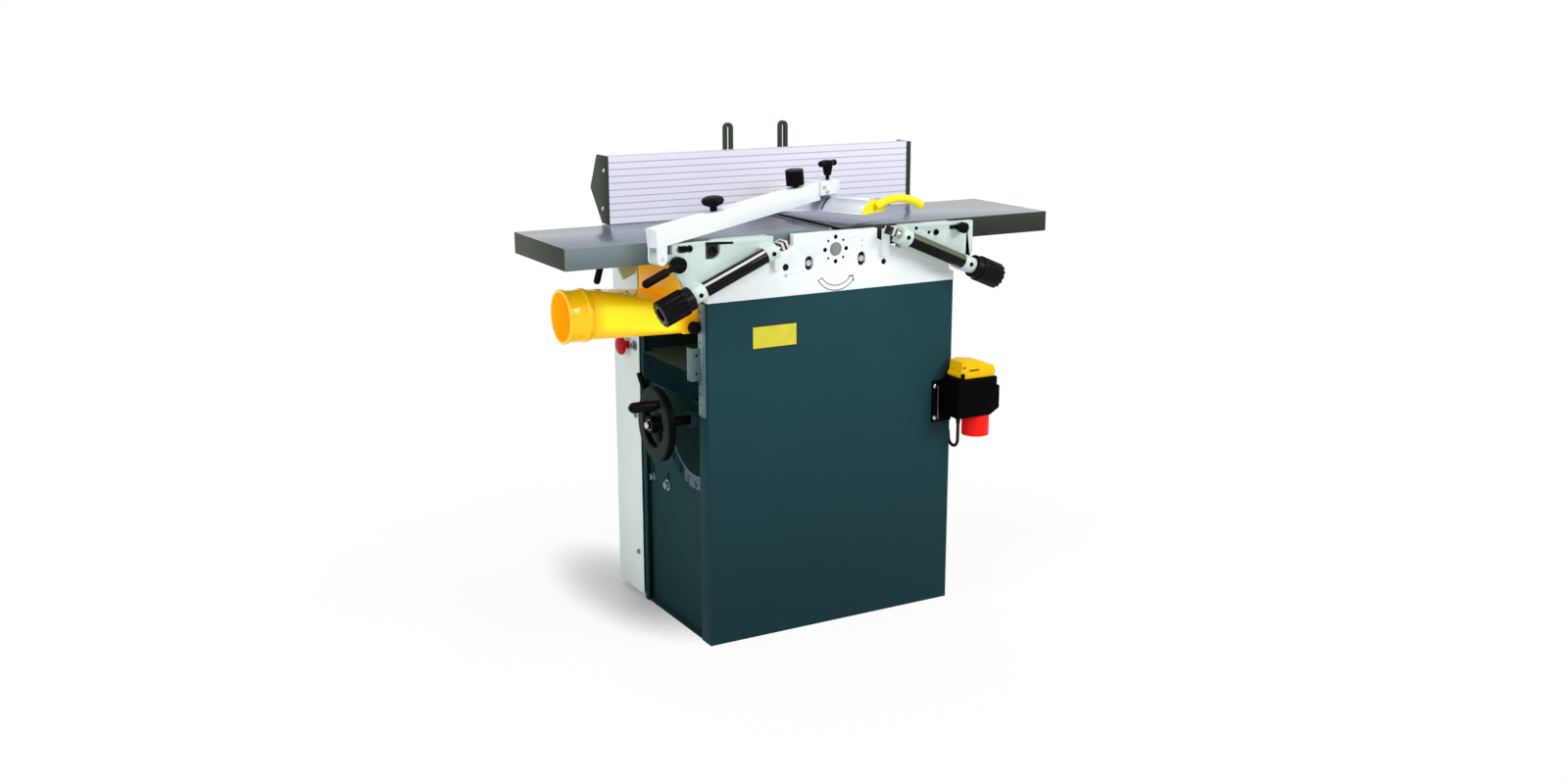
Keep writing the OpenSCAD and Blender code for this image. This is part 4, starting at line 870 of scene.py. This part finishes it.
def ground_iron(name, top, low, high, side, end, way, shine=0.2):
    """Cast iron, ground on top with long fine lines, and plain on its sides and ends, which carry
    painted light and shade and a painted reflection near the top edge.
    """
    finish = Finish(name)
    lines = finish.noise(34, 5, way)
    cloud = finish.noise(3.5, 4)
    cast = finish.noise(330, 3)
    flat = finish.ease(finish.facing("Z"), 0.55, 0.8)
    at_end = finish.ease(finish.facing("X").size(), 0.6, 0.9)
    ground = finish.blend(0.55 * lines + 0.45 * cloud, low, high)
    # The side and end tones stand in for light and shade, and the sides are painted lighter near the
    # top edge as a painted reflection
    edge = finish.blend(at_end, side, end)
    painted_sheen_edge = finish.blend(at_end, scaled(side, 1.3), end)
    rim = finish.blend(finish.ease(finish.along("Z"), top - RIM_DEPTH, top), edge, painted_sheen_edge)
    return finish.surface(
        Base_Color=finish.blend(flat, rim, ground), Metallic=shine * (0.75 + flat),
        Roughness=0.46 - 0.28 * flat + 0.10 * (lines - 0.5) + 0.06 * cast, Specular_IOR_Level=shine,
        Normal=finish.bump(lines * flat + cast * (1 - flat), 0.00006))


thick_side_shade = tint(14, 36, 38)
thick_iron = ground_iron("thicknessing_iron", THICK_TOP, tint(46, 72, 76), tint(62, 88, 94),
                         thick_side_shade, thick_side_shade, (1, 26, 1), 0.0)
softened("thickness_table", thick_iron, 1.2)
pointer_steel = metal("pointer_steel", tint(92, 118, 120), 0.4, bare=0.3)
softened("scale_pointer", pointer_steel, 0.5)
pointer_mesh = slab(rounded_box(*POINTER_SIZE, 1),
                    (POINTER_MIDDLE[0], POINTER_FACE + POINTER_THICK, POINTER_MIDDLE[1]), POINTER_THICK)
finish_piece("pointer_face", pointer_mesh, pointer_steel, "thickness_table", 0.3, 1)
fasteners("pointer_screws", socket_screw(2.6, 1.6), TO_FRONT, POINTER_HOLES, black_steel,
          "thickness_table")


# Handwheel
# A moulded black wheel on the lift shaft, held by a bright nut and washer, with a turned grip that
# spins on its own pin.
WHEEL_HUB = (-366, -60, 445)
WHEEL_WEB = 38.5
WASHER_THICK = 1.6
WASHER_PROFILE = [(6.6, 0), (10.5, 0), (10.5, WASHER_THICK), (6.6, WASHER_THICK), (6.6, 0)]


def plastic(name, colour, rough, grain=900, shine=0.2):
    """Moulded plastic: fine spark grain, a trace of dust, and a little gloss."""
    finish = Finish(name)
    spark = finish.noise(grain, 2)
    dust = finish.noise(22, 3)
    shade = finish.blend(dust, scaled(colour, 0.86), scaled(colour, 1.12))
    return finish.surface(Base_Color=shade, Roughness=rough + 0.12 * spark + 0.06 * dust,
                          Normal=finish.bump(spark, 0.00006), Specular_IOR_Level=shine)


black_plastic = plastic("black_plastic", tint(9, 10, 9), 0.30, shine=0.05)
wheel_plastic = Finish("wheel_plastic")
wheel_spark = wheel_plastic.noise(900, 2)
wheel_y, wheel_z = [wheel_plastic.along(axis) - hub * MM for axis, hub in zip("YZ", WHEEL_HUB[1:])]
# The rim's front face is painted grey-green as painted light; the rest of the wheel stays black
wheel_front = wheel_plastic.ease(wheel_plastic.facing("X") * -1, 0.6, 0.95)
wheel_rim_painted_light = (wheel_y * wheel_y + wheel_z * wheel_z > (WHEEL_WEB * MM) ** 2) * wheel_front
wheel_plastic.surface(Base_Color=wheel_plastic.blend(wheel_rim_painted_light, tint(4, 5, 5), tint(34, 46, 41)),
                      Roughness=0.36 + 0.14 * wheel_spark, Specular_IOR_Level=0.02,
                      Normal=wheel_plastic.bump(wheel_spark, 0.00006))
softened("handwheel", wheel_plastic, 2.0, 3)
softened("crank_grip", black_plastic, 0.6)
coat(black_steel, "wheel_shaft")
wheel_nut_spot = (WHEEL_HUB[0] - WASHER_THICK, *WHEEL_HUB[1:])
fasteners("wheel_nut", hex_nut(7.5, 7), TO_LEFT, [wheel_nut_spot], bright_steel, "handwheel")
washer_mesh = turned(WASHER_PROFILE, WHEEL_HUB, TO_LEFT)
finish_piece("wheel_washer", washer_mesh, bright_steel, "handwheel")


# Feed lever
# A short black moulded lever on the left end panel, pinned at its foot, that drops the feed rollers
# into gear.
softened("feed_lever", black_plastic, 0.8)


# Planing tables
# Two ribbed iron castings, ground along their length on top, with slotted lips at the cutterblock.
# Their edges are machined and left bare.
TABLE_TOP = 0.810
# The tables' ends are painted dark as shade, and the left table's sides light and the right one's dark,
# as painted light and shade
table_low, table_high, table_end_shade = tint(96, 111, 119), tint(126, 141, 150), tint(44, 52, 38)
for table_node, table_side_lighting in (("left_table", tint(100, 112, 114)), ("right_table", tint(34, 40, 30))):
    table_iron = ground_iron(table_node + "_iron", TABLE_TOP, table_low, table_high, table_side_lighting,
                             table_end_shade, (1, 30, 1))
    softened(table_node, table_iron, 0.7)


# Table brackets
# White painted castings bolted under the tables, front and back. They slide on the cheeks' ways and
# carry the lugs of the depth adjusters, with set screws in the lugs and bolts in slots.
WAY = math.radians(23)
ADJUSTER = (226, -174, 752.77)
RIGHT_SHIFT = 24
BRACKET_FACE = -157
LUGS = (-98, 69)
LUG_FACE = -189.8
WINDOW_X = (-290, -259)
WINDOW_Z = (774, 803)
WINDOW_FLOOR = -147.2
WINDOW_GAP = 0.6
WINDOW_TURN = 17
WEB_STEPS = 12
WINDOW_STRIP = [(-290, 801.5), (-232, 800), (-232, 804), (-259, 806), (-290, 807)]
bracket_paint = painted("bracket_paint", tint(198, 214, 209), 0.36, 0.00009)
softened("left_brackets", bracket_paint, 1.2)
softened("right_brackets", bracket_paint, 1.2)


def on_slope(along_it):
    """A point on the left adjuster's axis, seen from the front: x and z in millimetres."""
    return -ADJUSTER[0] + along_it * math.cos(WAY), ADJUSTER[2] + along_it * math.sin(WAY)


left_lugs = [on_slope(lug) for lug in LUGS]
right_lugs = [on_slope(lug + RIGHT_SHIFT) for lug in LUGS]
# The screws and bolts of each kind: radius and height, spots, finish and table
for bolt_name, bolt_size, bolt_spots, bolt_finish, bolt_body in (
        ("left_lug_screws", (4.4, 1.2), [(x, LUG_FACE, z) for x, z in left_lugs],
         black_plastic, "left_table"),
        ("right_lug_screws", (4.4, 1.2), [(-x, LUG_FACE, z) for x, z in right_lugs],
         black_plastic, "right_table"),
        ("slot_bolts", (6.6, 8), [(x, BRACKET_FACE + 6, 797) for x in (-337, -323)],
         black_steel, "left_table"),
        ("window_bolt", (8.5, 6), [(-271, WINDOW_FLOOR, 788)], black_steel, "left_table"),
        ("small_bolts", (3.4, 1.0), [(x, BRACKET_FACE + 0.2, z) for x, z in ((180, 801), (211, 791))],
         black_plastic, "right_table"),
        ("stop_bolt", (6.2, 12), [(228, BRACKET_FACE + 9, 790)], black_plastic, "right_table")):
    fasteners(bolt_name, socket_screw(*bolt_size), TO_FRONT, bolt_spots, bolt_finish, bolt_body)

# The window in the left bracket: a dark sheet across its back as painted shade, the web in its corner
# and a steel strip over it
pocket_paint = painted("pocket_paint", tint(60, 70, 62), 0.5, shine=0.15)
pocket_size = [high - low - WINDOW_GAP for low, high in (WINDOW_X, WINDOW_Z)]
pocket_middle = (sum(WINDOW_X) / 2, WINDOW_FLOOR, sum(WINDOW_Z) / 2)
pocket_mesh = slab(rounded_box(*pocket_size, 1), pocket_middle, 0.4)
finish_piece("window_back", pocket_mesh, pocket_paint, "left_table")
web_x, web_z = WINDOW_X[1] - WINDOW_TURN, WINDOW_Z[0] + WINDOW_TURN
web_bend = polar([(WINDOW_TURN, math.radians(-90 * k / WEB_STEPS)) for k in range(WEB_STEPS + 1)])
web_outline = [(WINDOW_X[1], WINDOW_Z[0])] + [(web_x + a, web_z + b) for a, b in web_bend]
web_mesh = slab(web_outline, (0, WINDOW_FLOOR, 0), WINDOW_FLOOR - BRACKET_FACE)
finish_piece("window_web", web_mesh, bracket_paint, "left_table")
strip_mesh = slab(WINDOW_STRIP, (0, BRACKET_FACE, 0), 0.8)
finish_piece("window_strip", strip_mesh, black_steel, "left_table", 0.2, 1)


# Depth adjusters
# Each is a chromed screw in a black sleeve that turns in the bracket's lugs, with a ribbed black
# knob. Its threaded end works in a steel block fixed to the cheek.
KNOB_START = -0.1122
SLEEVE = (-0.0838, 0.0568)
KNOB_END = -179.4
KNOB_RING = [(14.2, -5), (14.2, 0.9), (15.4, 1.1), (16.6, 0.8), (16.6, -1), (14.2, -5)]
HIGHLIGHT_FADE = 0.08
EYE_HALF = 0.012
EYE_FRONT = -0.158
EYE_PITCH = 0.005
EYE_LINE = 0.0022
# Each adjuster: its side, its shift up the slope, and the place and tone of the highlight painted on
# its sleeve
ADJUSTERS = {
    "left": (1, 0, (0.66, 0.82), tint(206, 204, 198)),
    "right": (-1, RIGHT_SHIFT, (0.30, 0.86), tint(96, 98, 78)),
}


def adjuster_finish(name, side, shift, highlight_span, highlight_tone):
    """Black knob, bright collars and a polished sleeve with a painted highlight band, along the screw.
    """
    finish = Finish(name)
    run = finish.along("X") * (side * math.cos(WAY)) + finish.along("Z") * math.sin(WAY)
    run = run - (-ADJUSTER[0] * math.cos(WAY) + ADJUSTER[2] * math.sin(WAY) + shift) * MM
    knob = run < KNOB_START
    sleeve = (run > SLEEVE[0]) * (run < SLEEVE[1])
    lines = finish.noise(700, 2)
    cloud = finish.noise(30, 3)
    # The sleeve's lighter band is a painted highlight, placed by which way the surface faces
    above = finish.facing("X") * (-side * math.sin(WAY)) + finish.facing("Z") * math.cos(WAY)
    band = finish.ease(above, highlight_span[0] - HIGHLIGHT_FADE, highlight_span[0])
    band = band * (1 - finish.ease(above, highlight_span[1], highlight_span[1] + HIGHLIGHT_FADE))
    steel = finish.blend(cloud, (0.34, 0.35, 0.31, 1), (0.56, 0.57, 0.52, 1))
    black = finish.blend(cloud, (0.004, 0.004, 0.004, 1), (0.009, 0.009, 0.008, 1))
    moulded = finish.blend(cloud, tint(9, 10, 10), tint(17, 18, 18))
    screw = finish.blend(sleeve, steel, finish.blend(band, black, highlight_tone))
    return finish.surface(
        Base_Color=finish.blend(knob, screw, moulded), Metallic=(1 - knob) * (1 - sleeve),
        Roughness=0.10 + 0.20 * knob + 0.06 * lines, Normal=finish.bump(lines, 0.00004),
        Specular_IOR_Level=0.06)


for hand, (side, shift, highlight_span, highlight_tone) in ADJUSTERS.items():
    adjuster = hand + "_adjuster"
    softened(adjuster, adjuster_finish(adjuster + "_steel", side, shift, highlight_span, highlight_tone), 0.8)
    ring_x, ring_z = on_slope(KNOB_END + shift)
    ring_mesh = turned(KNOB_RING, (side * ring_x, ADJUSTER[1], ring_z),
                       (-side * math.cos(WAY), 0, -math.sin(WAY)))
    finish_piece(hand + "_knob_ring", ring_mesh, dark_steel, adjuster)

block_finish = Finish("block_finish")
block_in = ADJUSTER[0] * MM - block_finish.along("X").size()
block_up = block_finish.along("Z") - ADJUSTER[2] * MM
block_run = block_in * math.cos(WAY) + block_up * math.sin(WAY)
block_off = block_up * math.cos(WAY) - block_in * math.sin(WAY)
block_eye = (block_off.size() < EYE_HALF) * (block_finish.along("Y") < EYE_FRONT)
block_ring = block_run.maths("PINGPONG", EYE_PITCH) < EYE_LINE
block_steel = block_finish.blend(block_ring, tint(206, 206, 198), tint(52, 52, 46))
block_white = block_finish.blend(block_finish.noise(5, 3), tint(222, 231, 233), tint(232, 240, 242))
block_finish.surface(Base_Color=block_finish.blend(block_eye, block_white, block_steel),
                     Metallic=0.5 * block_eye, Roughness=0.36 - 0.12 * block_eye,
                     Specular_IOR_Level=0.3)
softened("adjuster_blocks", block_finish, 0.6)


# Lock levers and lock knob
# Black moulded levers on the infeed brackets, and a small turned knob on the outfeed one, that clamp
# the tables to their ways.
softened("front_lock_lever", black_plastic, 1.0)
softened("rear_lock_lever", black_plastic, 1.0)
softened("right_lock_knob", black_plastic, 0.8)


# Bridge guard
# A white box-section arm hinged on the infeed bracket, with a clamp at its end that holds an arched
# aluminium extrusion over the cutterblock. Its ends have yellow moulded caps, the near one a handle.
GUARD_MIDDLE = (48, -20)
GUARD_TURN = math.radians(24)
ARCH_HALF = 42
ARCH_RISE = 26
ARCH_RADIUS = (ARCH_HALF ** 2 + ARCH_RISE ** 2) / (2 * ARCH_RISE)
CROWN_Z = 860
RAIL_HALF = 13
JAW_STEPS = 12
JAW_END = 2
JAW_GAP = 0.4
JAW_THICK = 2
JAW_WIDTH = 2.4
JAW_BACK = -21
softened("guard_arm", cheek_paint, 1.6, 3)
guard_aluminium = metal("guard_aluminium", (0.58, 0.61, 0.66, 1), 0.42, (20, 1, 20), 60, 0.00002, 0.12)
softened("guard_profile", guard_aluminium, 0.6)
handle_plastic = plastic("handle_plastic", tint(250, 222, 20), 0.30)
softened("guard_handle", handle_plastic, 0.8)
for guard_knob in ("guard_height_knob", "guard_tilt_knob", "guard_clamp_knob"):
    softened(guard_knob, black_plastic, 0.8)


def on_guard(across, along_it, height):
    """A point over the guard in millimetres, from its place across it and along it to the back."""
    return (GUARD_MIDDLE[0] + across * math.cos(GUARD_TURN) - along_it * math.sin(GUARD_TURN),
            GUARD_MIDDLE[1] + across * math.sin(GUARD_TURN) + along_it * math.cos(GUARD_TURN), height)


guard_across = (math.cos(GUARD_TURN), math.sin(GUARD_TURN), 0)
guard_out = (math.sin(GUARD_TURN), -math.cos(GUARD_TURN), 0)
clamp_spots = [on_guard(-30, -20, 881), on_guard(-19, -20, 871)]
fasteners("clamp_screws", hex_nut(4.4, 3.6), guard_out, clamp_spots, bright_steel, "guard_arm")

# Dark strips in a rubber finish, painted shadow for the gap under the clamp's jaws, follow the guard's
# arch on both sides of its rail
jaw_rubber = rubber("jaw_rubber")
for jaw_name, jaw_side in (("left_jaw", -1), ("right_jaw", 1)):
    jaw_step = (ARCH_HALF - JAW_END - RAIL_HALF) / JAW_STEPS
    jaw_across = [jaw_side * (RAIL_HALF + jaw_step * k) for k in range(JAW_STEPS + 1)]
    jaw_arc = [(a, CROWN_Z - ARCH_RADIUS + math.sqrt(ARCH_RADIUS ** 2 - a * a)) for a in jaw_across]
    jaw_outline = [(a, z + JAW_GAP) for a, z in jaw_arc]
    jaw_outline += [(a, z + JAW_GAP + JAW_THICK) for a, z in jaw_arc[::-1]]
    jaw_mesh = slab(jaw_outline, on_guard(0, JAW_BACK, 0), JAW_WIDTH, guard_across)
    finish_piece(jaw_name, jaw_mesh, jaw_rubber, "guard_arm")


# Fence
# A hollow aluminium extrusion with fine grooves along its face, anodised pale, between dark green
# end plates. Two slotted steel posts behind it hinge on a carriage that slides on two rails.
GROOVE_PITCH = 13.4
GROOVE_LINE = 1.1
FENCE_FOOT = 811
FENCE_FACE = 126
FENCE_STRIP = (8, 134)
FENCE_STRIP_X = 347.4
END_FACE = -362
END_RIVETS = [(END_FACE, 141, 916), (END_FACE, 150, 840)]
END_RIVET = [(0, 0), (4.2, 0), (4.0, 0.8), (2.6, 1.7), (0, 2.0)]
RIVET_SIDES = 20
fence_aluminium = Finish("fence_aluminium")
fence_lines = fence_aluminium.noise(90, 3, (1, 60, 60))
fence_cloud = fence_aluminium.noise(3, 2)
groove_run = fence_aluminium.along("Z") - FENCE_FOOT * MM
# The grooves are painted darker along the face, as painted shade in them
groove_shade_line = groove_run.maths("PINGPONG", GROOVE_PITCH / 2 * MM) < GROOVE_LINE * MM
fence_pale = fence_aluminium.blend(0.6 * fence_cloud + 0.4 * fence_lines, tint(222, 219, 236),
                                   tint(238, 235, 250))
fence_aluminium.surface(
    Base_Color=fence_aluminium.blend(0.45 * groove_shade_line, fence_pale, tint(150, 150, 172)),
    Metallic=0.1, Specular_IOR_Level=0.3, Roughness=0.36 + 0.12 * fence_lines,
    Normal=fence_aluminium.bump(fence_lines, 0.00002))
softened("fence_board", fence_aluminium, 0.3, 1)
post_paint = painted("post_paint", tint(44, 56, 42), 0.42, shine=0.15)
softened("fence_posts", post_paint, 0.7)
edge_mesh = slab(rounded_box(*FENCE_STRIP, 0.8),
                 (FENCE_STRIP_X, FENCE_FACE, FENCE_FOOT + FENCE_STRIP[1] / 2), 0.8)
finish_piece("fence_edge", edge_mesh, post_paint, "fence", 0.2, 1)
rivet_mesh = turned(END_RIVET, (0, 0, 0), UP, RIVET_SIDES)
fasteners("end_rivets", rivet_mesh, TO_LEFT, END_RIVETS, bright_steel, "fence")
carriage_paint = painted("carriage_paint", tint(34, 42, 43), 0.45, shine=0.15)
softened("fence_carriage", carriage_paint, 0.8)
softened("fence_rails", dark_steel, 0.8)


# Dust hood
# A blow-moulded yellow hood under the cutterblock that draws in to a round spigot for the hose. It
# slides on the cabinet's top flanges and is held by a black knob on its near side.
MOUTH_X = -518
NECK_X = -470
BOX_X = -310
SPIGOT_Z = 661
SPIGOT_RADIUS = 50
SPIGOT_INSIDE = 48.4
NECK_RADIUS = 48.6
DUCT_HALF = (102, 29)
DUCT_Z = 655
DUCT_CORNER = 12
HOOD_WALL = 3
LOFT_START = NECK_X + 2
LOFT_END = BOX_X + 0.5
LOFT_STEPS = 20
LOFT_CORNER_STEPS = 14
BOX_SHADE_FADE = (-0.335, -0.305)
COLLAR_FADE = (0.440, 0.468)
CUTTER_REACH = 0.5
# Where each ring of the spigot's beads lies, and its radius
SPIGOT_RINGS = [
    (MOUTH_X, 51.5), (MOUTH_X + 1, 52.5), (MOUTH_X + 5, 52.5), (MOUTH_X + 7, 50), (NECK_X - 10, 50),
    (NECK_X - 8, 52), (NECK_X - 2, 52), (NECK_X, 50.5), (LOFT_START, NECK_RADIUS)]
HOOD_KNOB = [(0, 0), (7, 0), (7, 5), (11, 6), (12.2, 8), (12.2, 16), (10.5, 19), (0, 20)]
HOOD_KNOB_AT = (-294, -DUCT_HALF[0], 638.5)
HOOD_BOLT = [(0, -2), (8, -2), (8, 1.2), (5.4, 1.4), (5.2, 4), (3.4, 5.4), (0, 5.8)]
HOOD_BOLT_AT = (-382, 0, 693.4)
hood_plastic = Finish("hood_plastic")
hood_flow = hood_plastic.noise(9, 3)
hood_skin = hood_plastic.noise(520, 2)
hood_x, hood_y = hood_plastic.along("X"), hood_plastic.along("Y")
hood_z = hood_plastic.along("Z") - SPIGOT_Z * MM
hood_inside = (hood_y * hood_y + hood_z * hood_z < (SPIGOT_INSIDE * MM) ** 2) * (hood_x < NECK_X * MM)
# Painted shade: the hood turns a deeper orange on its box under the table, inside its mouth and where
# it faces up or down
hood_box_shade = hood_plastic.ease(hood_x, *BOX_SHADE_FADE)
hood_slant_shade = hood_plastic.ease(hood_plastic.facing("Z").size(), 0.20, 0.80)
hood_collar = hood_plastic.ease(hood_x * -1, *COLLAR_FADE)
hood_lemon = hood_plastic.blend(hood_flow, tint(255, 232, 8), tint(255, 244, 22))
hood_yellow = hood_plastic.blend(hood_slant_shade, hood_lemon, tint(252, 196, 10))
hood_outer = hood_plastic.blend(hood_collar, hood_yellow, tint(255, 196, 4))
hood_shade_orange = hood_plastic.blend(hood_flow, tint(255, 170, 8), tint(255, 190, 14))
hood_colour = hood_plastic.blend(hood_box_shade.maths("MAXIMUM", hood_inside), hood_outer, hood_shade_orange)
# The colour also glows a little, as painted light that brightens the hood
hood_plastic.surface(
    Base_Color=hood_colour, Emission_Color=hood_colour, Emission_Strength=0.2,
    Roughness=0.26 + 0.10 * hood_skin, Normal=hood_plastic.bump(hood_skin, 0.00004),
    Specular_IOR_Level=0.1, Coat_Weight=0.5 - 0.5 * hood_box_shade, Coat_Roughness=0.08)

# Rings of the spigot and the loft: place, half width, half height, corner and middle height
hood_rings = [(x, radius, radius, radius, SPIGOT_Z) for x, radius in SPIGOT_RINGS]
for step in range(1, LOFT_STEPS + 1):
    part = step / LOFT_STEPS
    swell = 0.5 * part + 0.5 * part * part * (3 - 2 * part)
    ring_half = [NECK_RADIUS + (full - NECK_RADIUS) * swell for full in DUCT_HALF]
    ring_corner = min(NECK_RADIUS + (DUCT_CORNER - NECK_RADIUS) * swell, *ring_half)
    hood_rings.append((LOFT_START + (LOFT_END - LOFT_START) * part, *ring_half, ring_corner,
                       SPIGOT_Z + (DUCT_Z - SPIGOT_Z) * swell))
hood_inner = [(MOUTH_X, *[SPIGOT_RADIUS - HOOD_WALL] * 3, SPIGOT_Z)]
hood_inner += [(x, w - HOOD_WALL, h - HOOD_WALL, c - HOOD_WALL, z)
               for x, w, h, c, z in hood_rings if x > NECK_X]
bm = bmesh.new()
rows = []
for x, half_y, half_z, corner, middle in hood_rings + hood_inner[::-1]:
    outline = rounded_box(2 * half_y, 2 * half_z, corner, LOFT_CORNER_STEPS)
    rows.append([bm.verts.new(point(x, y, middle + z)) for y, z in outline])
skin(bm, rows + rows[:1])
bmesh.ops.remove_doubles(bm, verts=bm.verts, dist=1e-6)
bmesh.ops.dissolve_degenerate(bm, edges=bm.edges, dist=1e-6)
bmesh.ops.recalc_face_normals(bm, faces=bm.faces)
loft_mesh = closed(bm, "hood_loft")

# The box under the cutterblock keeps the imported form; its own plain funnel is cut away
hood_box = placed("hood_box", closed(merged("dust_hood"), "hood_box"))
cutter_middle = Matrix.Translation(point(BOX_X, 0, DUCT_Z) - Vector((CUTTER_REACH / 2, 0, 0)))
bm = bmesh.new()
bmesh.ops.create_cube(bm, size=1.0, matrix=cutter_middle @ Matrix.Scale(CUTTER_REACH, 4))
hood_cutter = placed("hood_cutter", closed(bm, "hood_cutter"))
trim = hood_box.modifiers.new("trim", "BOOLEAN")
trim.operation = "DIFFERENCE"
trim.solver = "EXACT"
trim.object = hood_cutter
bm = bmesh.new()
bm.from_mesh(evaluated(hood_box))
flattened(bm)
hood_box.modifiers.remove(trim)
bpy.data.objects.remove(hood_box)
bpy.data.objects.remove(hood_cutter)
hood_mesh = joined("dust_hood_made", [closed(bm, "hood_box_cut"), loft_mesh])
hood_body = body_of["dust_hood"]
hood_made = finish_piece("dust_hood_made", hood_mesh, hood_plastic, hood_body,
                         0.8, sharp=40)
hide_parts("dust_hood")
finish_piece("hood_knob", turned(HOOD_KNOB, HOOD_KNOB_AT, TO_FRONT), black_plastic, hood_body,
             0.5)
finish_piece("hood_bolt", turned(HOOD_BOLT, HOOD_BOLT_AT, UP), bright_steel, hood_body,
             0.3)


# Switch
# A black moulded switch box on a bent plate at the cabinet's right edge: a yellow flap over the
# buttons, a red power inlet below, and two rivets through the plate.
PLATE_FRONT = -149
PLATE_RIVETS = [(240, PLATE_FRONT, z) for z in (469, 402)]
PLATE_RIVET = [(0, 0), (4.6, 0), (4.4, 1.0), (2.8, 2.2), (0, 2.6)]
PLATE_EDGE = (3, 72)
PLATE_EDGE_AT = (247, PLATE_FRONT, 434)
LID_FRONT = -200
LID_MARK_THICK = 0.3
SLEEVE_PROFILE = [
    (3.5, 0), (6.4, 0), (6.4, 4), (5.6, 5), (5.6, 7.5), (6.0, 8), (6.0, 10), (5.2, 11), (5.2, 13.5),
    (5.5, 14), (5.5, 16), (4.6, 17), (4.2, 24), (3.5, 24), (3.5, 0)]
SLEEVE_SIDES = 28
switch_plastic = plastic("switch_plastic", tint(5, 6, 4), 0.34, 700, shine=0.02)
softened("switch_plate", switch_plastic, 0.8)
softened("switch_box", switch_plastic, 1.6, 3)
lid_plastic = plastic("lid_plastic", tint(238, 186, 10), 0.34, shine=0.08)
softened("switch_lid", lid_plastic, 3.0, 4)
red_plastic = plastic("red_plastic", tint(240, 26, 18), 0.34, shine=0.12)
softened("power_inlet", red_plastic, 0.8)
rivet_mesh = turned(PLATE_RIVET, (0, 0, 0), UP, RIVET_SIDES)
fasteners("plate_rivets", rivet_mesh, TO_FRONT, PLATE_RIVETS, bright_steel, "machine")
edge_mesh = slab(rounded_box(*PLATE_EDGE, 1), PLATE_EDGE_AT, PLATE_EDGE[0])
finish_piece("plate_edge", edge_mesh, dark_steel, "machine", 0.6)
# Two dark marks on the lid's front; the long one is painted shade where the lid has a slot
lid_ink = painted("lid_ink", tint(112, 66, 10), 0.5, shine=0.1)
lid_marks = [slab(rounded_box(width, height, 1.6), (x, LID_FRONT, z), LID_MARK_THICK)
             for width, height, x, z in ((25, 3.6, 301, 505.6), (8, 4, 276, 513))]
finish_piece("lid_marks", joined("lid_marks", lid_marks), lid_ink, body_of["switch_lid"])
sleeve_mesh = turned(SLEEVE_PROFILE, LEAD_ROUTE[0], (0, 0, -1), SLEEVE_SIDES)
finish_piece("lead_sleeve", sleeve_mesh, rubber("sleeve_rubber"), "machine", 0.2, 1)


# Stop button
# A red moulded mushroom button on the drive cover's left edge, under the dust spigot. It is pressed
# a few millimetres into the cover.
# Its red is a darker copy of the inlet's red, painted as shade
stop_plastic = plastic("stop_plastic", tint(186, 20, 26), 0.34, shine=0.12)
softened("stop_button", stop_plastic, 1.0)
